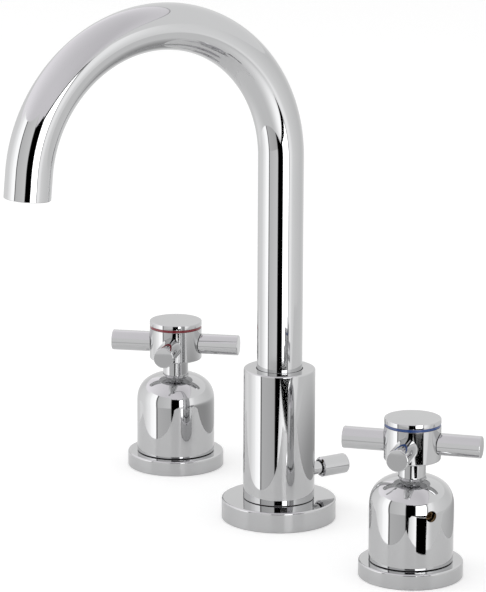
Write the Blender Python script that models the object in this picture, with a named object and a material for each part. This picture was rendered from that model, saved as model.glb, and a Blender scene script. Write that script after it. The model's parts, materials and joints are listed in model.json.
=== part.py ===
"""Widespread bathroom faucet: swivelling gooseneck spout, two cross-handle valves and a lift rod.

Metres, +Z up. The origin lies on the deck, on the spout's own axis. +X runs along the valve line
from the hot side to the cold side, and the spout reaches towards -Y. The valves are shown shut, the
spout straight ahead and the lift rod down. Every length below is a real size.
"""
import math

import bmesh
import bpy
from mathutils import Matrix, Vector

# Clearances and cutting
GAP = 0.0003
WELD_DISTANCE = 0.00001
CUT_OVERRUN = 0.001

# How many sides a round piece has
LARGE_SIDES = 24
TUBE_SIDES = 20
MEDIUM_SIDES = 14
SMALL_SIDES = 12
TINY_SIDES = 8
ARCH_STEPS = 16
DOME_STEPS = 5
HIDDEN_DOME_STEPS = 2
ROUND_STEPS = 1
RING_SIDES = 6

# The counter that the nuts clamp
DECK_THICKNESS = 0.030
WASHER_THICKNESS = 0.0018
LOCK_NUT_THICKNESS = 0.0070

# Round flange under the spout
SPOUT_FLANGE_RADIUS = 0.0290
SPOUT_FLANGE_HEIGHT = 0.0104
SPOUT_FLANGE_CROWN = 0.0005
FLANGE_EDGE_ROUND = 0.0009
FLANGE_FOOT_WIDTH = 0.0035
FLANGE_FOOT_BEVEL = 0.0005
GASKET_RECESS = 0.0025

# Sleeve that stands on the flange
SLEEVE_RADIUS = 0.0181
SLEEVE_WALL = 0.0020
SLEEVE_TOP = 0.0782
SLEEVE_TOP_WALL = 0.0030
SLEEVE_EDGE_ROUND = 0.0008

# Shank: threaded stem below, slim riser and swivel socket above
SHANK_RADIUS = 0.0140
SHANK_LENGTH_BELOW = 0.0580
SHANK_COLLAR_RADIUS = 0.0157
SHANK_COLLAR_HEIGHT = 0.0040
RISER_RADIUS = 0.0056
WATERWAY_RADIUS = 0.0040
SOCKET_RADIUS = 0.0106
SOCKET_BORE_RADIUS = 0.0080
SOCKET_BASE_THICKNESS = 0.0027
SOCKET_HEADROOM = 0.0038
SPOUT_WASHER_RADIUS = 0.0205
SPOUT_NUT_FLAT_RADIUS = 0.0180

# Tee that screws into the shank and takes one hose from each valve
TEE_RADIUS = 0.0072
TEE_DROP = 0.0240
TEE_SPIGOT_LENGTH = 0.0080
TEE_BORE_RADIUS = 0.0025
TEE_ARM_RADIUS = 0.0064
TEE_ARM_REACH = 0.0270
TEE_ARM_BORE_RADIUS = 0.0032

# Gooseneck tube
TUBE_RADIUS = 0.01145
TUBE_WALL = 0.0016
ARCH_RADIUS = 0.0713
ARCH_CENTRE_HEIGHT = 0.1868
ARCH_SWEEP_DEG = 175.0
TIP_STRAIGHT = 0.0118
TIP_BEVEL = 0.0004

# Spigot at the foot of the gooseneck, with its seals and snap ring
SPIGOT_PLUG_LENGTH = 0.0130
SPIGOT_BORE_RADIUS = 0.0048
SEAL_GROOVE_DEPTH = 0.0014
SEAL_GROOVE_WIDTH = 0.0020
SEAL_THICKNESS = 0.0011
SNAP_RING_HEIGHT = 0.0528
SNAP_RING_RISE = 0.0028
LOWER_SEAL_RISE = 0.0048
SEAL_PITCH = 0.0046
SNAP_RING_THICKNESS = 0.0008
SNAP_RING_WIDTH = 0.0015
SNAP_RING_SPAN_DEG = 300.0
SNAP_GROOVE_BITE = 0.0008

# Plastic bush in which the gooseneck swivels
BUSH_LENGTH = 0.0080
BUSH_LIP_WIDTH = 0.0007
BUSH_LIP_DROP = 0.0002

# Aerator in the tip
AERATOR_RECESS = 0.0006
AERATOR_LENGTH = 0.0090
AERATOR_WALL = 0.0018
AERATOR_INSERT_LENGTH = 0.0065
AERATOR_INSERT_RECESS = 0.0008
AERATOR_CELL_FLAT_RADIUS = 0.00155
AERATOR_CELL_PITCH = 0.0044
AERATOR_CELL_RINGS = 1

# Lift rod of the drain
LIFT_SETBACK = 0.0102
LIFT_HEIGHT = 0.0222
LIFT_TRAVEL = 0.0200
LIFT_ROD_RADIUS = 0.0020
LIFT_ROD_BOTTOM = -0.0950
LIFT_HEAD_WIDTH = 0.0070
LIFT_HEAD_RISE = 0.0042
LIFT_HEAD_BEVEL = 0.0006
LIFT_ARM_RADIUS = 0.0033
LIFT_THREAD_RADIUS = 0.0018
LIFT_KNOB_RADIUS = 0.0051
LIFT_KNOB_START = 0.0247
LIFT_KNOB_LENGTH = 0.0154
LIFT_KNOB_BEVEL = 0.0008
LIFT_KNOB_RECESS = 0.0018
LIFT_KNOB_MOUTH_RADIUS = 0.0040
LIFT_THREAD_IN_KNOB = 0.0070
SLOT_CLEARANCE = 0.0005

# Where the two valves stand
HOT_SPACING = 0.1087
COLD_SPACING = 0.1118
VALVE_SETBACK = 0.0043

# Valve flange and bell
VALVE_FLANGE_RADIUS = 0.0254
VALVE_FLANGE_HEIGHT = 0.0078
BELL_RADIUS = 0.0205
BELL_WALL = 0.0018
BELL_SHOULDER = 0.0346
BELL_DOME_HEIGHT = 0.01545
BELL_DOME_POWER = 2.5
BELL_THREAD_HEIGHT = 0.0062
BELL_FOOT_BEVEL = 0.0003
SET_SCREW_HEIGHT = 0.0348
SET_SCREW_HOLE_RADIUS = 0.00255
SET_SCREW_RECESS = 0.0012
SET_SCREW_KEY_RADIUS = 0.0014
SET_SCREW_KEY_DEPTH = 0.0025
HOT_SCREW_AZIMUTH_DEG = 187.0
COLD_SCREW_AZIMUTH_DEG = -7.0

# Brass valve body
BODY_RADIUS = 0.0145
BODY_TOP_RADIUS = 0.0117
BODY_THREAD_TOP = 0.0160
BODY_TOP = 0.0300
BODY_BOTTOM = -0.0600
CHAMBER_RADIUS = 0.0104
CHAMBER_FLOOR = 0.0080
INLET_RADIUS = 0.0102
INLET_LENGTH = 0.0180
INLET_BORE_RADIUS = 0.0040
OUTLET_RADIUS = 0.0064
OUTLET_BORE_RADIUS = 0.0032
OUTLET_REACH = 0.0270
OUTLET_HEIGHT = -0.0510
CHANNEL_RADIUS = 0.0019
CHANNEL_SETOUT = 0.0116
CHANNEL_TOP = 0.0120
VALVE_WASHER_RADIUS = 0.0210
VALVE_NUT_FLAT_RADIUS = 0.0188

# Quarter-turn ceramic cartridge
HOUSING_RADIUS = 0.0092
HOUSING_BOTTOM = 0.0090
HOUSING_POCKET_RADIUS = 0.0083
HOUSING_COLLAR_RADIUS = 0.0114
HOUSING_COLLAR_HEIGHT = 0.0020
HOUSING_NECK_RADIUS = 0.0076
HOUSING_TOP = 0.0420
STOP_WALL_HEIGHT = 0.0030
WINDOW_WIDTH = 0.0060
WINDOW_HEIGHT = 0.0040
SEAT_SEAL_HEIGHT = 0.0022
DISC_THICKNESS = 0.0033
PORT_INNER_RADIUS = 0.0022
PORT_OUTER_RADIUS = 0.0064
PORT_SPAN_DEG = 76.0
DRIVE_SLOT_WIDTH = 0.0036
DRIVE_SLOT_DEPTH = 0.0014
STEM_RADIUS = 0.0039
STEM_FOOT_LENGTH = 0.0140
STEM_FOOT_WIDTH = 0.0070
STEM_FOOT_HEIGHT = 0.0035
STEM_TOP = 0.0600
STOP_TAB_SPAN_DEG = 40.0
STOP_TAB_MARGIN_DEG = 5.0
QUARTER_TURN_DEG = 90.0
SPLINE_TEETH = 8
SPLINE_ROOT_RADIUS = 0.0037
SPLINE_TIP_RADIUS = 0.0043
SPLINE_BOTTOM = 0.0462
GLAND_FLAT_RADIUS = 0.0135
GLAND_BOTTOM = 0.0200
GLAND_TOP_WALL = 0.0030

# Cross handle
HUB_RADIUS = 0.01375
HUB_BOTTOM = 0.0582
HUB_EDGE_ROUND = 0.0006
NECK_RADIUS = 0.0066
NECK_BOTTOM = 0.0488
HANDLE_TOP = 0.0787
CAP_HEIGHT = 0.0024
CAP_EDGE_BEVEL = 0.0004
CAP_PLUG_RADIUS = 0.0092
CAP_PLUG_LENGTH = 0.0030
INDEX_RING_HEIGHT = 0.0009
SPOKE_HEIGHT = 0.0665
SPOKE_RADIUS = 0.00535
SPOKE_REACH = 0.0339
SPOKE_EDGE_BEVEL = 0.0005
SPOKE_TENON_RADIUS = 0.0025
SPOKE_TENON_LENGTH = 0.0050
SPOKE_COUNT = 4
HANDLE_SCREW_RADIUS = 0.0018
HANDLE_SCREW_HEAD_RADIUS = 0.0040
HANDLE_SCREW_HEAD_HEIGHT = 0.0032
HANDLE_SCREW_REACH = 0.0090
HANDLE_SCREW_KEY_RADIUS = 0.0019
HANDLE_SCREW_KEY_DEPTH = 0.0018
HOT_SPOKE_TURN_DEG = 48.0
COLD_SPOKE_TURN_DEG = 43.0

# Sizes that follow from the ones above
SPOUT_TOP_OF_FLANGE = SPOUT_FLANGE_HEIGHT + SPOUT_FLANGE_CROWN
LOWER_SEAL_HEIGHT = SNAP_RING_HEIGHT + LOWER_SEAL_RISE
UPPER_SEAL_HEIGHT = LOWER_SEAL_HEIGHT + SEAL_PITCH
SOCKET_FLOOR = SNAP_RING_HEIGHT - SNAP_RING_RISE
SOCKET_BASE = SOCKET_FLOOR - SOCKET_BASE_THICKNESS
SOCKET_TOP = UPPER_SEAL_HEIGHT + SOCKET_HEADROOM
TUBE_BORE_RADIUS = TUBE_RADIUS - TUBE_WALL
TUBE_FOOT = SOCKET_TOP + GAP
SLEEVE_BORE_RADIUS = SLEEVE_RADIUS - SLEEVE_WALL
WASHER_TOP = -DECK_THICKNESS
LOCK_NUT_TOP = WASHER_TOP - WASHER_THICKNESS - GAP
FIXED_DISC_BOTTOM = CHAMBER_FLOOR + GAP + SEAT_SEAL_HEIGHT + GAP
MOVING_DISC_BOTTOM = FIXED_DISC_BOTTOM + DISC_THICKNESS + GAP
STEM_FOOT_BOTTOM = MOVING_DISC_BOTTOM + DISC_THICKNESS + GAP
HOUSING_SHOULDER = STEM_FOOT_BOTTOM + STEM_FOOT_HEIGHT + GAP
HOUSING_SEAT = BODY_TOP + GAP
DISC_RADIUS = HOUSING_POCKET_RADIUS - GAP
CAP_BOTTOM = HANDLE_TOP - CAP_HEIGHT
HUB_TOP = CAP_BOTTOM - GAP - INDEX_RING_HEIGHT - GAP
CAP_PLUG_BOTTOM = CAP_BOTTOM - CAP_PLUG_LENGTH
SCREW_SEAT = CAP_PLUG_BOTTOM - GAP - HANDLE_SCREW_HEAD_HEIGHT - GAP

# Finishes: colour, roughness and metallic value
FINISHES = {
    "polished_chrome": ((0.58, 0.59, 0.60), 0.06, 1.0),
    "bare_brass": ((0.74, 0.56, 0.27), 0.32, 1.0),
    "stainless_steel": ((0.60, 0.61, 0.62), 0.28, 1.0),
    "black_rubber": ((0.03, 0.03, 0.03), 0.80, 0.0),
    "white_ceramic": ((0.86, 0.86, 0.83), 0.25, 0.0),
    "dark_plastic": ((0.05, 0.05, 0.06), 0.45, 0.0),
    "pale_plastic": ((0.80, 0.80, 0.80), 0.40, 0.0),
    "hot_red": ((0.50, 0.03, 0.05), 0.35, 0.0),
    "cold_blue": ((0.05, 0.20, 0.60), 0.35, 0.0),
}


# Scene and object helpers

def clear_scene():
    for obj in list(bpy.data.objects):
        bpy.data.objects.remove(obj, do_unlink=True)


def finish(name):
    """The named finish as a Principled material, made once."""
    material = bpy.data.materials.get(name)
    if material:
        return material
    colour, roughness, metallic = FINISHES[name]
    material = bpy.data.materials.new(name)
    material.use_nodes = True
    shader = material.node_tree.nodes["Principled BSDF"]
    shader.inputs["Base Color"].default_value = (*colour, 1.0)
    shader.inputs["Roughness"].default_value = roughness
    shader.inputs["Metallic"].default_value = metallic
    return material


def pivot(name, location):
    """An empty that carries pieces; a moving group's empty lies on its joint axis."""
    empty = bpy.data.objects.new(name, None)
    empty.location = location
    bpy.context.scene.collection.objects.link(empty)
    return empty


def add_object(bm, name, carrier, material=None):
    """Turn a bmesh into a named object on its carrier, faces outward and round sides smooth."""
    bmesh.ops.remove_doubles(bm, verts=bm.verts, dist=WELD_DISTANCE)
    bmesh.ops.recalc_face_normals(bm, faces=bm.faces)
    mesh = bpy.data.meshes.new(name)
    bm.to_mesh(mesh)
    bm.free()
    mesh.shade_smooth()
    mesh.set_sharp_from_angle(angle=math.radians(35.0))
    obj = bpy.data.objects.new(name, mesh)
    bpy.context.scene.collection.objects.link(obj)
    obj.parent = carrier
    if material:
        mesh.materials.append(finish(material))
    return obj


def combine(obj, tool, operation):
    """Cut a tool body away from a piece or weld it on, and keep the tool as a hidden guide."""
    tool.hide_render = True
    tool.display_type = "WIRE"
    boolean = obj.modifiers.new(tool.name, "BOOLEAN")
    boolean.operation = operation
    boolean.object = tool


def cut(obj, *tools):
    for tool in tools:
        combine(obj, tool, "DIFFERENCE")


def weld(obj, *tools):
    for tool in tools:
        combine(obj, tool, "UNION")


# Shape helpers

def arc(centre, radius, start_deg, end_deg, steps):
    """Points of a circular arc in the (radius, height) plane of a turned outline."""
    points = []
    for step in range(steps + 1):
        angle = math.radians(start_deg + (end_deg - start_deg) * step / steps)
        points.append((centre[0] + radius * math.cos(angle), centre[1] + radius * math.sin(angle)))
    return points


def circle(radius, height, sides, start_deg=0.0):
    """A level ring of points."""
    turns = [math.radians(start_deg) + math.tau * side / sides for side in range(sides)]
    return [Vector((radius * math.cos(turn), radius * math.sin(turn), height)) for turn in turns]


def loft(rings, closed=False):
    """Skin rings that have the same number of points: end caps, or one closed loop of rings."""
    bm = bmesh.new()
    rows = [[bm.verts.new(point) for point in ring] for ring in rings]
    count = len(rows[0])
    pairs = list(zip(rows, rows[1:]))
    if closed:
        pairs.append((rows[-1], rows[0]))
    else:
        bm.faces.new(reversed(rows[0]))
        bm.faces.new(rows[-1])
    for low, high in pairs:
        for side in range(count):
            after = (side + 1) % count
            bm.faces.new((low[side], low[after], high[after], high[side]))
    return bm


def turned(name, outline, sides, carrier, material=None, place=None):
    """Spin an outline of (radius, height) points about Z; an outline may start and end on the axis."""
    bm = bmesh.new()
    points = [bm.verts.new((radius, 0, height)) for radius, height in outline]
    edges = [bm.edges.new(pair) for pair in zip(points, points[1:])]
    on_axis = outline[0][0] == 0 and outline[-1][0] == 0
    if not on_axis:
        edges.append(bm.edges.new((points[-1], points[0])))
    bmesh.ops.spin(bm, geom=points + edges, cent=(0, 0, 0), axis=(0, 0, 1), angle=math.tau,
                   steps=sides, use_merge=True)
    if place:
        bmesh.ops.transform(bm, matrix=place, verts=bm.verts)
    return add_object(bm, name, carrier, material)


def rod(name, radius, low, high, sides, carrier, material=None, place=None):
    """A plain round bar between two heights."""
    outline = [(0, low), (radius, low), (radius, high), (0, high)]
    return turned(name, outline, sides, carrier, material, place)


def prism(name, outline, low, high, carrier, material=None, place=None):
    """An outline of (x, y) points extruded between two heights."""
    bm = loft([[Vector((x, y, height)) for x, y in outline] for height in (low, high)])
    if place:
        bmesh.ops.transform(bm, matrix=place, verts=bm.verts)
    return add_object(bm, name, carrier, material)


def block(name, low, high, carrier, material=None):
    """A rectangular block between two corners."""
    outline = [(low[0], low[1]), (high[0], low[1]), (high[0], high[1]), (low[0], high[1])]
    return prism(name, outline, low[2], high[2], carrier, material)


def hexagon(flat_radius, start_deg=0.0):
    """A hexagon given by the distance from its centre to a flat; a flat faces start_deg."""
    corner = flat_radius / math.cos(math.pi / 6)
    return [(p.x, p.y) for p in circle(corner, 0, 6, start_deg + 30.0)]


def sector(name, inner, outer, low, high, middle_deg, span_deg, steps, carrier, material=None):
    """A piece of a flat ring: its four corners swept along an arc about Z."""
    rings = []
    for step in range(steps + 1):
        turn = math.radians(middle_deg + span_deg * (step / steps - 0.5))
        direction = Vector((math.cos(turn), math.sin(turn), 0))
        corners = ((inner, low), (outer, low), (outer, high), (inner, high))
        rings.append([direction * radius + Vector((0, 0, height)) for radius, height in corners])
    return add_object(loft(rings), name, carrier, material)


def seal_ring(name, middle_radius, thickness, height, sides, carrier):
    """A rubber O-ring."""
    outline = arc((middle_radius, height), thickness / 2, 0.0, 360.0, RING_SIDES)[:-1]
    return turned(name, outline, sides, carrier, "black_rubber")


def side_bar(name, radius, near, far, height, direction, carrier, material=None, sides=SMALL_SIDES):
    """A level round bar that runs out along +X or -X between two distances from the axis."""
    place = Matrix.Translation((0, 0, height)) @ Matrix.Rotation(direction * math.pi / 2, 4, "Y")
    return rod(name, radius, near, far, sides, carrier, material, place)


# Pieces that both the spout and the valves have

def make_flange(name, radius, height, crown, bore, sides, carrier):
    """Turned escutcheon disc: rounded rim, narrow foot and a recess below for the gasket."""
    edge = (radius - FLANGE_EDGE_ROUND, height - FLANGE_EDGE_ROUND)
    outline = [(bore, GASKET_RECESS), (bore, height + crown)]
    outline += arc(edge, FLANGE_EDGE_ROUND, 90.0, 0.0, ROUND_STEPS)
    outline += [
        (radius, FLANGE_FOOT_BEVEL),
        (radius - FLANGE_FOOT_BEVEL, 0),
        (radius - FLANGE_FOOT_WIDTH, 0),
        (radius - FLANGE_FOOT_WIDTH, GASKET_RECESS),
    ]
    return turned(name, outline, sides, carrier, "polished_chrome")


def make_gasket(name, flange_radius, bore, sides, carrier):
    """Soft ring in the flange's recess, level with its foot."""
    outer = flange_radius - FLANGE_FOOT_WIDTH - GAP
    top = GASKET_RECESS - GAP
    outline = [(bore, 0), (bore, top), (outer, top), (outer, 0)]
    return turned(name, outline, sides, carrier, "black_rubber")


def make_clamp(prefix, shank_radius, washer_radius, nut_flat_radius, carrier):
    """Washer and hexagonal lock nut on a threaded stem, below the counter."""
    bore = shank_radius + GAP
    washer_bottom = WASHER_TOP - WASHER_THICKNESS
    outline = [
        (bore, WASHER_TOP),
        (washer_radius, WASHER_TOP),
        (washer_radius, washer_bottom),
        (bore, washer_bottom),
    ]
    turned(prefix + "_washer", outline, MEDIUM_SIDES, carrier, "stainless_steel")
    nut_bottom = LOCK_NUT_TOP - LOCK_NUT_THICKNESS
    name = prefix + "_lock_nut"
    nut = prism(name, hexagon(nut_flat_radius), nut_bottom, LOCK_NUT_TOP, carrier, "bare_brass")
    low = nut_bottom - CUT_OVERRUN
    high = LOCK_NUT_TOP + CUT_OVERRUN
    cut(nut, rod(name + "_hole", bore, low, high, MEDIUM_SIDES, carrier))


# Spout: the fixed pieces

def make_sleeve(carrier):
    """Tall chromed sleeve with a closed top and a round-ended slot at the back for the lift arm."""
    bottom = SPOUT_TOP_OF_FLANGE + GAP
    ceiling = SLEEVE_TOP - SLEEVE_TOP_WALL
    mouth = TUBE_RADIUS + GAP + BUSH_LIP_WIDTH + GAP
    edge = (SLEEVE_RADIUS - SLEEVE_EDGE_ROUND, SLEEVE_TOP - SLEEVE_EDGE_ROUND)
    outline = [
        (SLEEVE_BORE_RADIUS, bottom),
        (SLEEVE_BORE_RADIUS, ceiling),
        (mouth, ceiling),
        (mouth, SLEEVE_TOP),
    ]
    outline += arc(edge, SLEEVE_EDGE_ROUND, 90.0, 0.0, ROUND_STEPS)
    outline += [(SLEEVE_RADIUS, bottom)]
    sleeve = turned("spout_sleeve", outline, LARGE_SIDES, carrier, "polished_chrome")
    half_width = LIFT_ARM_RADIUS + SLOT_CLEARANCE
    lower = arc((0, LIFT_HEIGHT), half_width, 180.0, 360.0, TINY_SIDES // 2)
    upper = arc((0, LIFT_HEIGHT + LIFT_TRAVEL), half_width, 0.0, 180.0, TINY_SIDES // 2)
    upright = Matrix.Rotation(math.pi / 2, 4, "X")
    reach = SLEEVE_RADIUS + CUT_OVERRUN
    start = SLEEVE_BORE_RADIUS / 2
    cut(sleeve, prism("sleeve_slot", lower + upper, -reach, -start, carrier, place=upright))


def make_shank(carrier):
    """Brass stem: threaded below the flange, slim riser, and a socket for the swivelling spigot."""
    seat = SPOUT_TOP_OF_FLANGE + GAP
    collar_top = seat + SHANK_COLLAR_HEIGHT
    groove_low = SNAP_RING_HEIGHT - SNAP_RING_THICKNESS / 2 - GAP
    groove_high = SNAP_RING_HEIGHT + SNAP_RING_THICKNESS / 2 + GAP
    groove_radius = SOCKET_BORE_RADIUS + SNAP_GROOVE_BITE
    outline = [
        (WATERWAY_RADIUS, -SHANK_LENGTH_BELOW),
        (SHANK_RADIUS, -SHANK_LENGTH_BELOW),
        (SHANK_RADIUS, seat),
        (SHANK_COLLAR_RADIUS, seat),
        (SHANK_COLLAR_RADIUS, collar_top),
        (RISER_RADIUS, collar_top),
        (RISER_RADIUS, SOCKET_BASE),
        (SOCKET_RADIUS, SOCKET_BASE),
        (SOCKET_RADIUS, SOCKET_TOP),
        (SOCKET_BORE_RADIUS, SOCKET_TOP),
        (SOCKET_BORE_RADIUS, groove_high),
        (groove_radius, groove_high),
        (groove_radius, groove_low),
        (SOCKET_BORE_RADIUS, groove_low),
        (SOCKET_BORE_RADIUS, SOCKET_FLOOR),
        (WATERWAY_RADIUS, SOCKET_FLOOR),
    ]
    shank = turned("spout_shank", outline, MEDIUM_SIDES, carrier, "bare_brass")
    beside = Matrix.Translation((0, LIFT_SETBACK, 0))
    low = -SHANK_LENGTH_BELOW - CUT_OVERRUN
    cut(shank, rod("shank_rod_bore", LIFT_ROD_RADIUS + GAP, low, collar_top + CUT_OVERRUN, TINY_SIDES,
                   carrier, place=beside))


def make_tee(carrier):
    """Inlet tee: a spigot up into the shank's waterway and one threaded arm for each valve's hose."""
    top = -SHANK_LENGTH_BELOW - GAP
    bottom = top - TEE_DROP
    arm_height = bottom + TEE_ARM_RADIUS + TEE_BORE_RADIUS
    spigot_radius = WATERWAY_RADIUS - GAP
    outline = [
        (TEE_BORE_RADIUS, top + TEE_SPIGOT_LENGTH),
        (spigot_radius, top + TEE_SPIGOT_LENGTH),
        (spigot_radius, top),
        (TEE_RADIUS, top),
        (TEE_RADIUS, bottom),
        (0, bottom),
        (0, arm_height),
        (TEE_BORE_RADIUS, arm_height),
    ]
    tee = turned("inlet_tee", outline, SMALL_SIDES, carrier, "bare_brass")
    weld(tee, side_bar("tee_arms", TEE_ARM_RADIUS, -TEE_ARM_REACH, TEE_ARM_REACH, arm_height, 1, carrier))
    reach = TEE_ARM_REACH + CUT_OVERRUN
    cut(tee, side_bar("tee_arm_bore", TEE_ARM_BORE_RADIUS, -reach, reach, arm_height, 1, carrier))


def make_bush(carrier):
    """Plastic swivel bush under the sleeve's top; its thin lip shows as a dark line round the tube."""
    inner = TUBE_RADIUS + GAP
    outer = SLEEVE_BORE_RADIUS - GAP
    lip = inner + BUSH_LIP_WIDTH
    top = SLEEVE_TOP - SLEEVE_TOP_WALL - GAP
    outline = [
        (inner, top - BUSH_LENGTH),
        (outer, top - BUSH_LENGTH),
        (outer, top),
        (lip, top),
        (lip, SLEEVE_TOP - BUSH_LIP_DROP),
        (inner, SLEEVE_TOP - BUSH_LIP_DROP),
    ]
    turned("swivel_bush", outline, LARGE_SIDES, carrier, "dark_plastic")


def make_spout_base(carrier):
    bore = SHANK_RADIUS + GAP
    make_flange("spout_flange", SPOUT_FLANGE_RADIUS, SPOUT_FLANGE_HEIGHT, SPOUT_FLANGE_CROWN, bore,
                LARGE_SIDES, carrier)
    make_gasket("spout_gasket", SPOUT_FLANGE_RADIUS, bore, MEDIUM_SIDES, carrier)
    make_sleeve(carrier)
    make_shank(carrier)
    make_tee(carrier)
    make_bush(carrier)
    make_clamp("spout", SHANK_RADIUS, SPOUT_WASHER_RADIUS, SPOUT_NUT_FLAT_RADIUS, carrier)


# Spout: the pieces that swivel

def tube_frame(sweep_deg, onward=0.0):
    """Frame on the gooseneck's centre line: its Z runs along the tube, its X stays level."""
    sweep = math.radians(sweep_deg)
    along = Vector((0, -math.sin(sweep), math.cos(sweep)))
    across = Vector((0, math.cos(sweep), math.sin(sweep)))
    forward = ARCH_RADIUS * (1 - math.cos(sweep))
    centre = Vector((0, -forward, ARCH_CENTRE_HEIGHT + ARCH_RADIUS * math.sin(sweep)))
    turn = Matrix((Vector((1, 0, 0)), across, along)).transposed().to_4x4()
    return Matrix.Translation(centre + along * onward) @ turn


def make_gooseneck(carrier):
    """Bent tube: rings carried up the column, round the arch and down to the slightly raked tip."""
    foot = tube_frame(0.0, TUBE_FOOT - ARCH_CENTRE_HEIGHT)
    frames = [foot] + [tube_frame(ARCH_SWEEP_DEG * step / ARCH_STEPS) for step in range(ARCH_STEPS + 1)]
    bevel_start = tube_frame(ARCH_SWEEP_DEG, TIP_STRAIGHT - TIP_BEVEL)
    tip = tube_frame(ARCH_SWEEP_DEG, TIP_STRAIGHT)
    outside = circle(TUBE_RADIUS, 0, TUBE_SIDES)
    inside = circle(TUBE_BORE_RADIUS, 0, TUBE_SIDES)
    bevelled = circle(TUBE_RADIUS - TIP_BEVEL, 0, TUBE_SIDES)
    rings = [[frame @ point for point in outside] for frame in frames + [bevel_start]]
    rings.append([tip @ point for point in bevelled])
    rings.append([tip @ point for point in inside])
    rings += [[frame @ point for point in inside] for frame in reversed(frames)]
    add_object(loft(rings, closed=True), "spout_tube", carrier, "polished_chrome")


def seal_groove(outer, middle_height):
    """Outline of a seal's groove in a shaft, from its upper edge to its lower edge."""
    low = middle_height - SEAL_GROOVE_WIDTH / 2
    high = middle_height + SEAL_GROOVE_WIDTH / 2
    floor = outer - SEAL_GROOVE_DEPTH
    return [(outer, high), (floor, high), (floor, low), (outer, low)]


def make_spigot(carrier):
    """Brass plug brazed into the tube's foot; below it turns in the shank's socket on two seals."""
    plug_radius = TUBE_BORE_RADIUS - GAP
    shaft_radius = SOCKET_BORE_RADIUS - GAP
    bottom = SOCKET_FLOOR + GAP
    ring_low = SNAP_RING_HEIGHT - SNAP_RING_THICKNESS / 2 - GAP
    ring_high = SNAP_RING_HEIGHT + SNAP_RING_THICKNESS / 2 + GAP
    ring_floor = SOCKET_BORE_RADIUS + SNAP_GROOVE_BITE - GAP - SNAP_RING_WIDTH - GAP
    outline = [
        (SPIGOT_BORE_RADIUS, TUBE_FOOT + SPIGOT_PLUG_LENGTH),
        (plug_radius, TUBE_FOOT + SPIGOT_PLUG_LENGTH),
        (plug_radius, TUBE_FOOT),
        (shaft_radius, TUBE_FOOT),
    ]
    outline += seal_groove(shaft_radius, UPPER_SEAL_HEIGHT)
    outline += seal_groove(shaft_radius, LOWER_SEAL_HEIGHT)
    outline += [
        (shaft_radius, ring_high),
        (ring_floor, ring_high),
        (ring_floor, ring_low),
        (shaft_radius, ring_low),
        (shaft_radius, bottom),
        (SPIGOT_BORE_RADIUS, bottom),
    ]
    turned("spout_spigot", outline, MEDIUM_SIDES, carrier, "bare_brass")
    seal_radius = shaft_radius - SEAL_GROOVE_DEPTH + GAP + SEAL_THICKNESS / 2
    seal_ring("upper_o_ring", seal_radius, SEAL_THICKNESS, UPPER_SEAL_HEIGHT, SMALL_SIDES, carrier)
    seal_ring("lower_o_ring", seal_radius, SEAL_THICKNESS, LOWER_SEAL_HEIGHT, SMALL_SIDES, carrier)
    outer = SOCKET_BORE_RADIUS + SNAP_GROOVE_BITE - GAP
    low = SNAP_RING_HEIGHT - SNAP_RING_THICKNESS / 2
    high = SNAP_RING_HEIGHT + SNAP_RING_THICKNESS / 2
    sector("spout_snap_ring", outer - SNAP_RING_WIDTH, outer, low, high, 90.0, SNAP_RING_SPAN_DEG,
           SMALL_SIDES, carrier, "stainless_steel")


def cell_centres():
    """Centres of the flow straightener's cells, ring after ring on a triangular grid."""
    centres = []
    for row in range(-AERATOR_CELL_RINGS, AERATOR_CELL_RINGS + 1):
        for column in range(-AERATOR_CELL_RINGS, AERATOR_CELL_RINGS + 1):
            if abs(row + column) <= AERATOR_CELL_RINGS:
                x = AERATOR_CELL_PITCH * (column + row / 2)
                y = AERATOR_CELL_PITCH * row * math.sin(math.pi / 3)
                centres.append((x, y))
    return centres


def make_aerator(carrier):
    """Threaded ring in the tip and the plastic flow straightener that it holds."""
    tip = tube_frame(ARCH_SWEEP_DEG, TIP_STRAIGHT)
    outer = TUBE_BORE_RADIUS - GAP
    inner = outer - AERATOR_WALL
    bottom = -AERATOR_RECESS
    top = bottom - AERATOR_LENGTH
    outline = [(inner, bottom), (outer, bottom), (outer, top), (inner, top)]
    turned("aerator_housing", outline, MEDIUM_SIDES, carrier, "polished_chrome", tip)
    insert_bottom = bottom - AERATOR_INSERT_RECESS
    insert_top = insert_bottom - AERATOR_INSERT_LENGTH
    insert = rod("aerator_insert", inner - GAP, insert_top, insert_bottom, MEDIUM_SIDES, carrier,
                 "pale_plastic", tip)
    for number, (x, y) in enumerate(cell_centres()):
        place = tip @ Matrix.Translation((x, y, 0))
        cut(insert, prism("aerator_cell_%d" % (number + 1), hexagon(AERATOR_CELL_FLAT_RADIUS),
                          insert_top - CUT_OVERRUN, insert_bottom + CUT_OVERRUN, carrier, place=place))


def make_spout(carrier):
    make_gooseneck(carrier)
    make_spigot(carrier)
    make_aerator(carrier)


# Lift rod of the drain

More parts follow.
